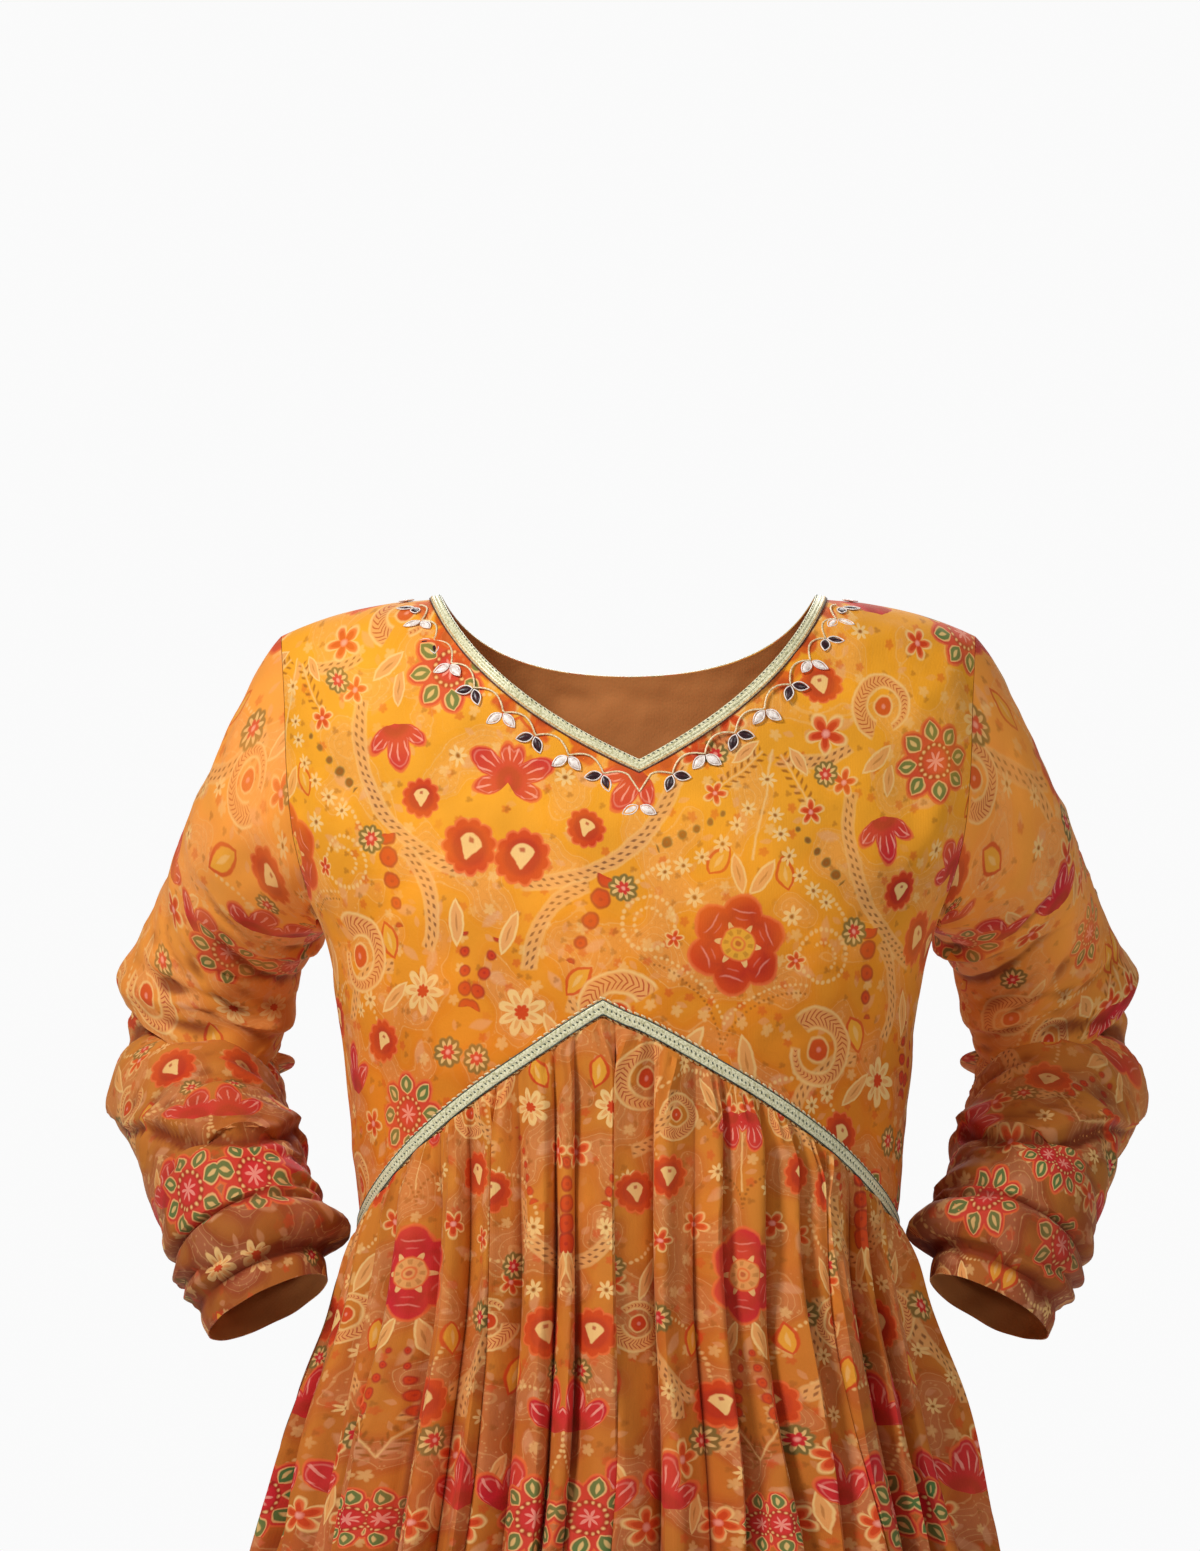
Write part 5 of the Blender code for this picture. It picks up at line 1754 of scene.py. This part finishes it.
def dress_trims():
    cream = thread("cream_thread", dye(246, 226, 184), dye(206, 170, 118), 0.42)
    silvery = thread("pale_green_thread", dye(240, 234, 198), dye(186, 180, 134), 0.38)
    teal = thread("grey_green_thread", dye(74, 90, 82), dye(34, 42, 40), 0.5)
    brown = thread("brown_thread", dye(110, 50, 26), dye(58, 22, 14), 0.7, 0.0)
    maroon = thread("maroon_satin", dye(58, 16, 24), dye(26, 6, 12), 0.36, 0.0, 500.0)
    white = thread("white_satin", dye(250, 240, 232), dye(218, 198, 186), 0.36, 0.0, 500.0)
    ochre = thread("ochre_thread", dye(238, 200, 136), dye(190, 132, 66), 0.5)

    stitches, cord = stitches_recipe(), cord_recipe()
    dash = rounded_bar("dash", 0.0018, 0.0008, 0.0007)
    picot = rounded_bar("picot", 0.0038, 0.0014, 0.0009)
    leaf = petal("leaf", 0.0096, 0.0048, 0.0009)
    rim = petal_rim("rim", 0.0104, 0.0057, 0.0003, 0.00042)

    made = [braid("neck_braid", neck_place, NECK_RIBS, silvery),
            braid("waist_braid", waist_place, WAIST_RIBS, silvery)]
    for name, place, across, lift, recipe, inputs in (
        ("neck_dashes", neck_place, 0.0009, BRAID_TOP, stitches,
         {"Stitch": dash, "Spacing": 0.0032, "Turn": 0.35, "Seed": 3, "Thread": teal}),
        ("waist_dashes", waist_place, 0.0051, BRAID_TOP + 0.0002, stitches,
         {"Stitch": dash, "Spacing": 0.0029, "Turn": 0.95, "Seed": 5, "Thread": teal}),
        ("waist_picots_above", waist_place, 0.0098, 0.0009, stitches,
         {"Stitch": picot, "Spacing": 0.0044, "Turn": 0.20, "Seed": 7, "Thread": cream}),
        ("waist_picots_below", waist_place, 0.0004, 0.0009, stitches,
         {"Stitch": picot, "Spacing": 0.0044, "Turn": 0.20, "Seed": 8, "Thread": ochre}),
        ("neck_edge_thread", neck_place, 0.0069, 0.0007, cord, {"Radius": 0.0006, "Thread": brown}),
        ("neck_inner_thread", neck_place, 0.0057, BRAID_TOP, cord, {"Radius": 0.0004, "Thread": ochre}),
        ("waist_thread_above", waist_place, 0.0088, BRAID_TOP, cord, {"Radius": 0.0004, "Thread": teal}),
        ("waist_thread_below", waist_place, 0.0014, BRAID_TOP, cord, {"Radius": 0.0004, "Thread": teal}),
    ):
        points, away = place(across)
        made.append(sewn(path(name, points + away * lift, away, closed=True), recipe, **inputs))
    made += vine(cord, leaf, rim, cream, maroon, white)
    for helper in (dash, picot, leaf, rim):
        bpy.data.objects.remove(helper)
    return made


VINE_INSET = 0.0170
VINE_STEP = 0.0235
VINE_SWING = 0.0062
VINE_SHORT = 0.004        # how far before the neck point the vine ends
VINE_POINTS = 900
VINE_LIFT = 0.0009
VINE_RADIUS = 0.0006
PETAL_LIFT = 0.0007
PETAL_START = 0.0008      # how far from its node a petal begins
CENTRE_DROP = 0.0240      # how far under the point of the neckline the middle pair sits
CENTRE_TURNS = (62, -62)
PETAL_TURNS = {"dark": (18, -80), "pale": (40, -58)}


def vine(cord, leaf, rim, cream, maroon, white):
    """The embroidered vine below the front neckline: scallops of cord with a pair of petals
    at each node, by turns dark and pale."""
    made = []
    for sign, side in ((1, "left"), (-1, "right")):
        fine = neck_half(sign, False, VINE_INSET, VINE_POINTS)
        run = run_along(on_form(*fine.T))
        nodes = round((run[-1] - VINE_SHORT) / VINE_STEP)
        step = (run[-1] - VINE_SHORT) / nodes
        inset = VINE_INSET - VINE_SWING * np.abs(np.sin(math.pi * run / step)) ** 0.8
        line = neck_half(sign, False, inset, VINE_POINTS)[run <= nodes * step][::6]
        points, away = on_form(*line.T), away_from_form(*line.T)
        row = path(f"vine_{side}", points + away * VINE_LIFT, away)
        made.append(sewn(row, cord, Radius=VINE_RADIUS, Thread=cream))
        for kind, look, first in (("dark", maroon, 1), ("pale", white, 2)):
            places = np.interp(np.arange(first, nodes + 1, 2) * step, run, np.arange(len(run)))
            places = fine[np.round(places).astype(int)]
            points, away = on_form(*places.T), away_from_form(*places.T)
            turns = [-sign * turn for turn in PETAL_TURNS[kind]]
            made += petal_pairs(f"petals_{kind}_{side}", points, away, turns, leaf, rim, look, white)
    place = neck_half(1, False, CENTRE_DROP, 10)[:1].T
    here, out = on_form(*place), away_from_form(*place)
    return made + petal_pairs("petals_centre", here, out, CENTRE_TURNS, leaf, rim, white, white)


def petal_pairs(name, places, away, turns, leaf, rim, look, edging):
    """Pairs of satin petals with their cord outlines at places with their directions out of the
    cloth, each petal turned so far from hanging straight down."""
    fills, rims = bmesh.new(), bmesh.new()
    for here, out in zip(places, away):
        down = np.array([0.0, 0.0, -1.0])
        down = unit(down - out * (down @ out))
        for turn in np.radians(turns):
            way = down * math.cos(turn) + np.cross(out, down) * math.sin(turn)
            place = np.identity(4)
            place[:3, :3] = np.stack([np.cross(way, out), way, out], axis=1)
            place[:3, 3] = here + out * PETAL_LIFT + way * PETAL_START
            for mesh, part in ((fills, leaf), (rims, rim)):
                data = part.data.copy()
                data.transform(Matrix(place.tolist()))
                mesh.from_mesh(data)
                bpy.data.meshes.remove(data)
    objects = []
    for mesh, label, dressed in ((fills, name, look), (rims, name + "_rims", edging)):
        data = bpy.data.meshes.new(label)
        outwards(mesh, data)
        data.materials.append(dressed)
        data.shade_smooth()
        objects.append(in_scene(label, data))
    return objects


SKIRT_FLOWER = (0.1309, -0.4080)      # the middle of the print's large flower on the cloth
SLEEVE_FLOWER = (0.050, -0.328)
BODICE_FLOWER = (0.0640, -0.2040)
SKIRT_STRETCH = (1.33, 1.0)


def main():
    bodice_print = print_group("bodice_print", BODICE_LAYOUT)
    skirt_print = print_group("skirt_print", SKIRT_LAYOUT)
    reverse = reverse_look("reverse", dye(214, 136, 70))
    # Each ground darkens lower down its piece, partly the dye's own colour and partly painted shade,
    # most on the sleeves towards the wrist.
    bodice_ground = Ground(dye(242, 160, 32), dye(218, 112, 18), -0.12, -0.30)
    sleeve_ground = Ground(dye(248, 154, 62), dye(142, 62, 26), -0.12, -0.52)
    skirt_ground = Ground(dye(200, 110, 36), dye(178, 80, 30), -0.36, -0.60)
    bodice_cloth = georgette("bodice_cloth", bodice_print, bodice_ground, BODICE_FLOWER, -10.5,
                             neckline=True)
    sleeve_cloth = georgette("sleeve_cloth", skirt_print, sleeve_ground, SLEEVE_FLOWER, 8.0, thin=0.50)
    skirt_cloth = georgette("skirt_cloth", skirt_print, skirt_ground, SKIRT_FLOWER, 0.0, SKIRT_STRETCH)
    for node_name, make, side, look, flat, held in (
        ("bodice_front", bodice, False, bodice_cloth, (0.47, 0.42), "stretched"),
        ("bodice_back", bodice, True, bodice_cloth, (0.46, 0.43), "stretched"),
        ("sleeve_left", sleeve, 1, sleeve_cloth, (0.41, 0.59), "draped"),
        ("sleeve_right", sleeve, -1, sleeve_cloth, (0.41, 0.59), "draped"),
        ("skirt_front", skirt, False, skirt_cloth, (2.13, 1.18), "gathered"),
        ("skirt_back", skirt, True, skirt_cloth, (2.10, 1.08), "gathered"),
    ):
        obj = make(node_name + "_cloth", side, [look, reverse])
        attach(obj, "root")
        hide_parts(node_name)
        round(cloth_area(obj), 3)
    replaced = {"neck_braid": "neck_trim", "waist_braid": "waist_trim"}
    for obj in dress_trims():
        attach(obj, "root")
        if obj.name in replaced:
            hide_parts(replaced[obj.name])


# ---------------------------------------------------------------- studio
FLOOR_HEIGHT = -1.420
FLOOR_REACH = 6
CAMERA_FAR = 5.0
FRAME_HEIGHT = 0.9306       # how much of the gown's height the frame takes in
SENSOR = 36.0
AIM = (-0.017, 0.0, -0.1053)
LIT_MIDDLE = Vector((0.0, 0.0, -0.25))
LIGHTS = (                  # name, place, size, watts
    ("key_light", (-1.45, -1.45, 1.40), 0.5, 55.0),
    ("fill_light", (1.5, -1.9, 1.2), 0.9, 18.0),
    ("back_light", (0.4, 3.0, 1.8), 2.2, 62.0),
)


def studio():
    scene = bpy.context.scene
    floor = bpy.data.meshes.new("studio_floor")
    reach, corners = FLOOR_REACH, ((-1, -1), (1, -1), (1, 1), (-1, 1))
    points = [(x * reach, y * reach, FLOOR_HEIGHT) for x, y in corners]
    floor.from_pydata(points, [], [(0, 1, 2, 3)])
    paint, tree, shader = material("floor_paint", Roughness=0.9, Emission_Color=(1.0, 1.0, 1.0, 1.0),
                                   Emission_Strength=0.24)
    here = node(tree, "ShaderNodeTexCoord").outputs["Object"]
    grain = node(tree, "ShaderNodeTexNoise", Scale=3.0, Vector=here).outputs[0]
    shades = two_shades(tree, grain, (0.72, 0.72, 0.71, 1.0), (0.78, 0.78, 0.77, 1.0))
    give(tree, shader, Base_Color=shades)
    floor.materials.append(paint)
    in_scene("studio_floor", floor)

    world = bpy.data.worlds.new("studio")
    world.use_nodes = True
    tree = world.node_tree
    light = tree.nodes["Background"]
    give(tree, light, Color=(0.90, 0.91, 0.92, 1.0), Strength=0.15)
    paper = node(tree, "ShaderNodeBackground", Color=(0.96, 0.96, 0.96, 1.0))
    seen = node(tree, "ShaderNodeLightPath").outputs["Is Camera Ray"]
    mixed = node(tree, "ShaderNodeMixShader", _0=seen, _1=light.outputs[0], _2=paper.outputs[0])
    give(tree, tree.nodes["World Output"], Surface=mixed.outputs[0])
    scene.world = world

    for name, place, size, watts in LIGHTS:
        light = bpy.data.lights.new(name, "AREA")
        light.shape, light.size, light.energy = "SQUARE", size, watts
        lamp = in_scene(name, light)
        lamp.location = place
        lamp.rotation_euler = (LIT_MIDDLE - Vector(place)).to_track_quat("-Z", "Y").to_euler()

    lens = bpy.data.cameras.new("camera")
    lens.sensor_fit = "VERTICAL"
    lens.sensor_height = lens.sensor_width = SENSOR
    lens.lens = SENSOR * CAMERA_FAR / FRAME_HEIGHT
    camera = in_scene("camera", lens)
    camera.location = (AIM[0], AIM[1] - CAMERA_FAR, AIM[2])
    camera.rotation_euler = (math.radians(90), 0.0, 0.0)
    scene.camera = camera
    scene.view_settings.view_transform = "Standard"


main()
studio()
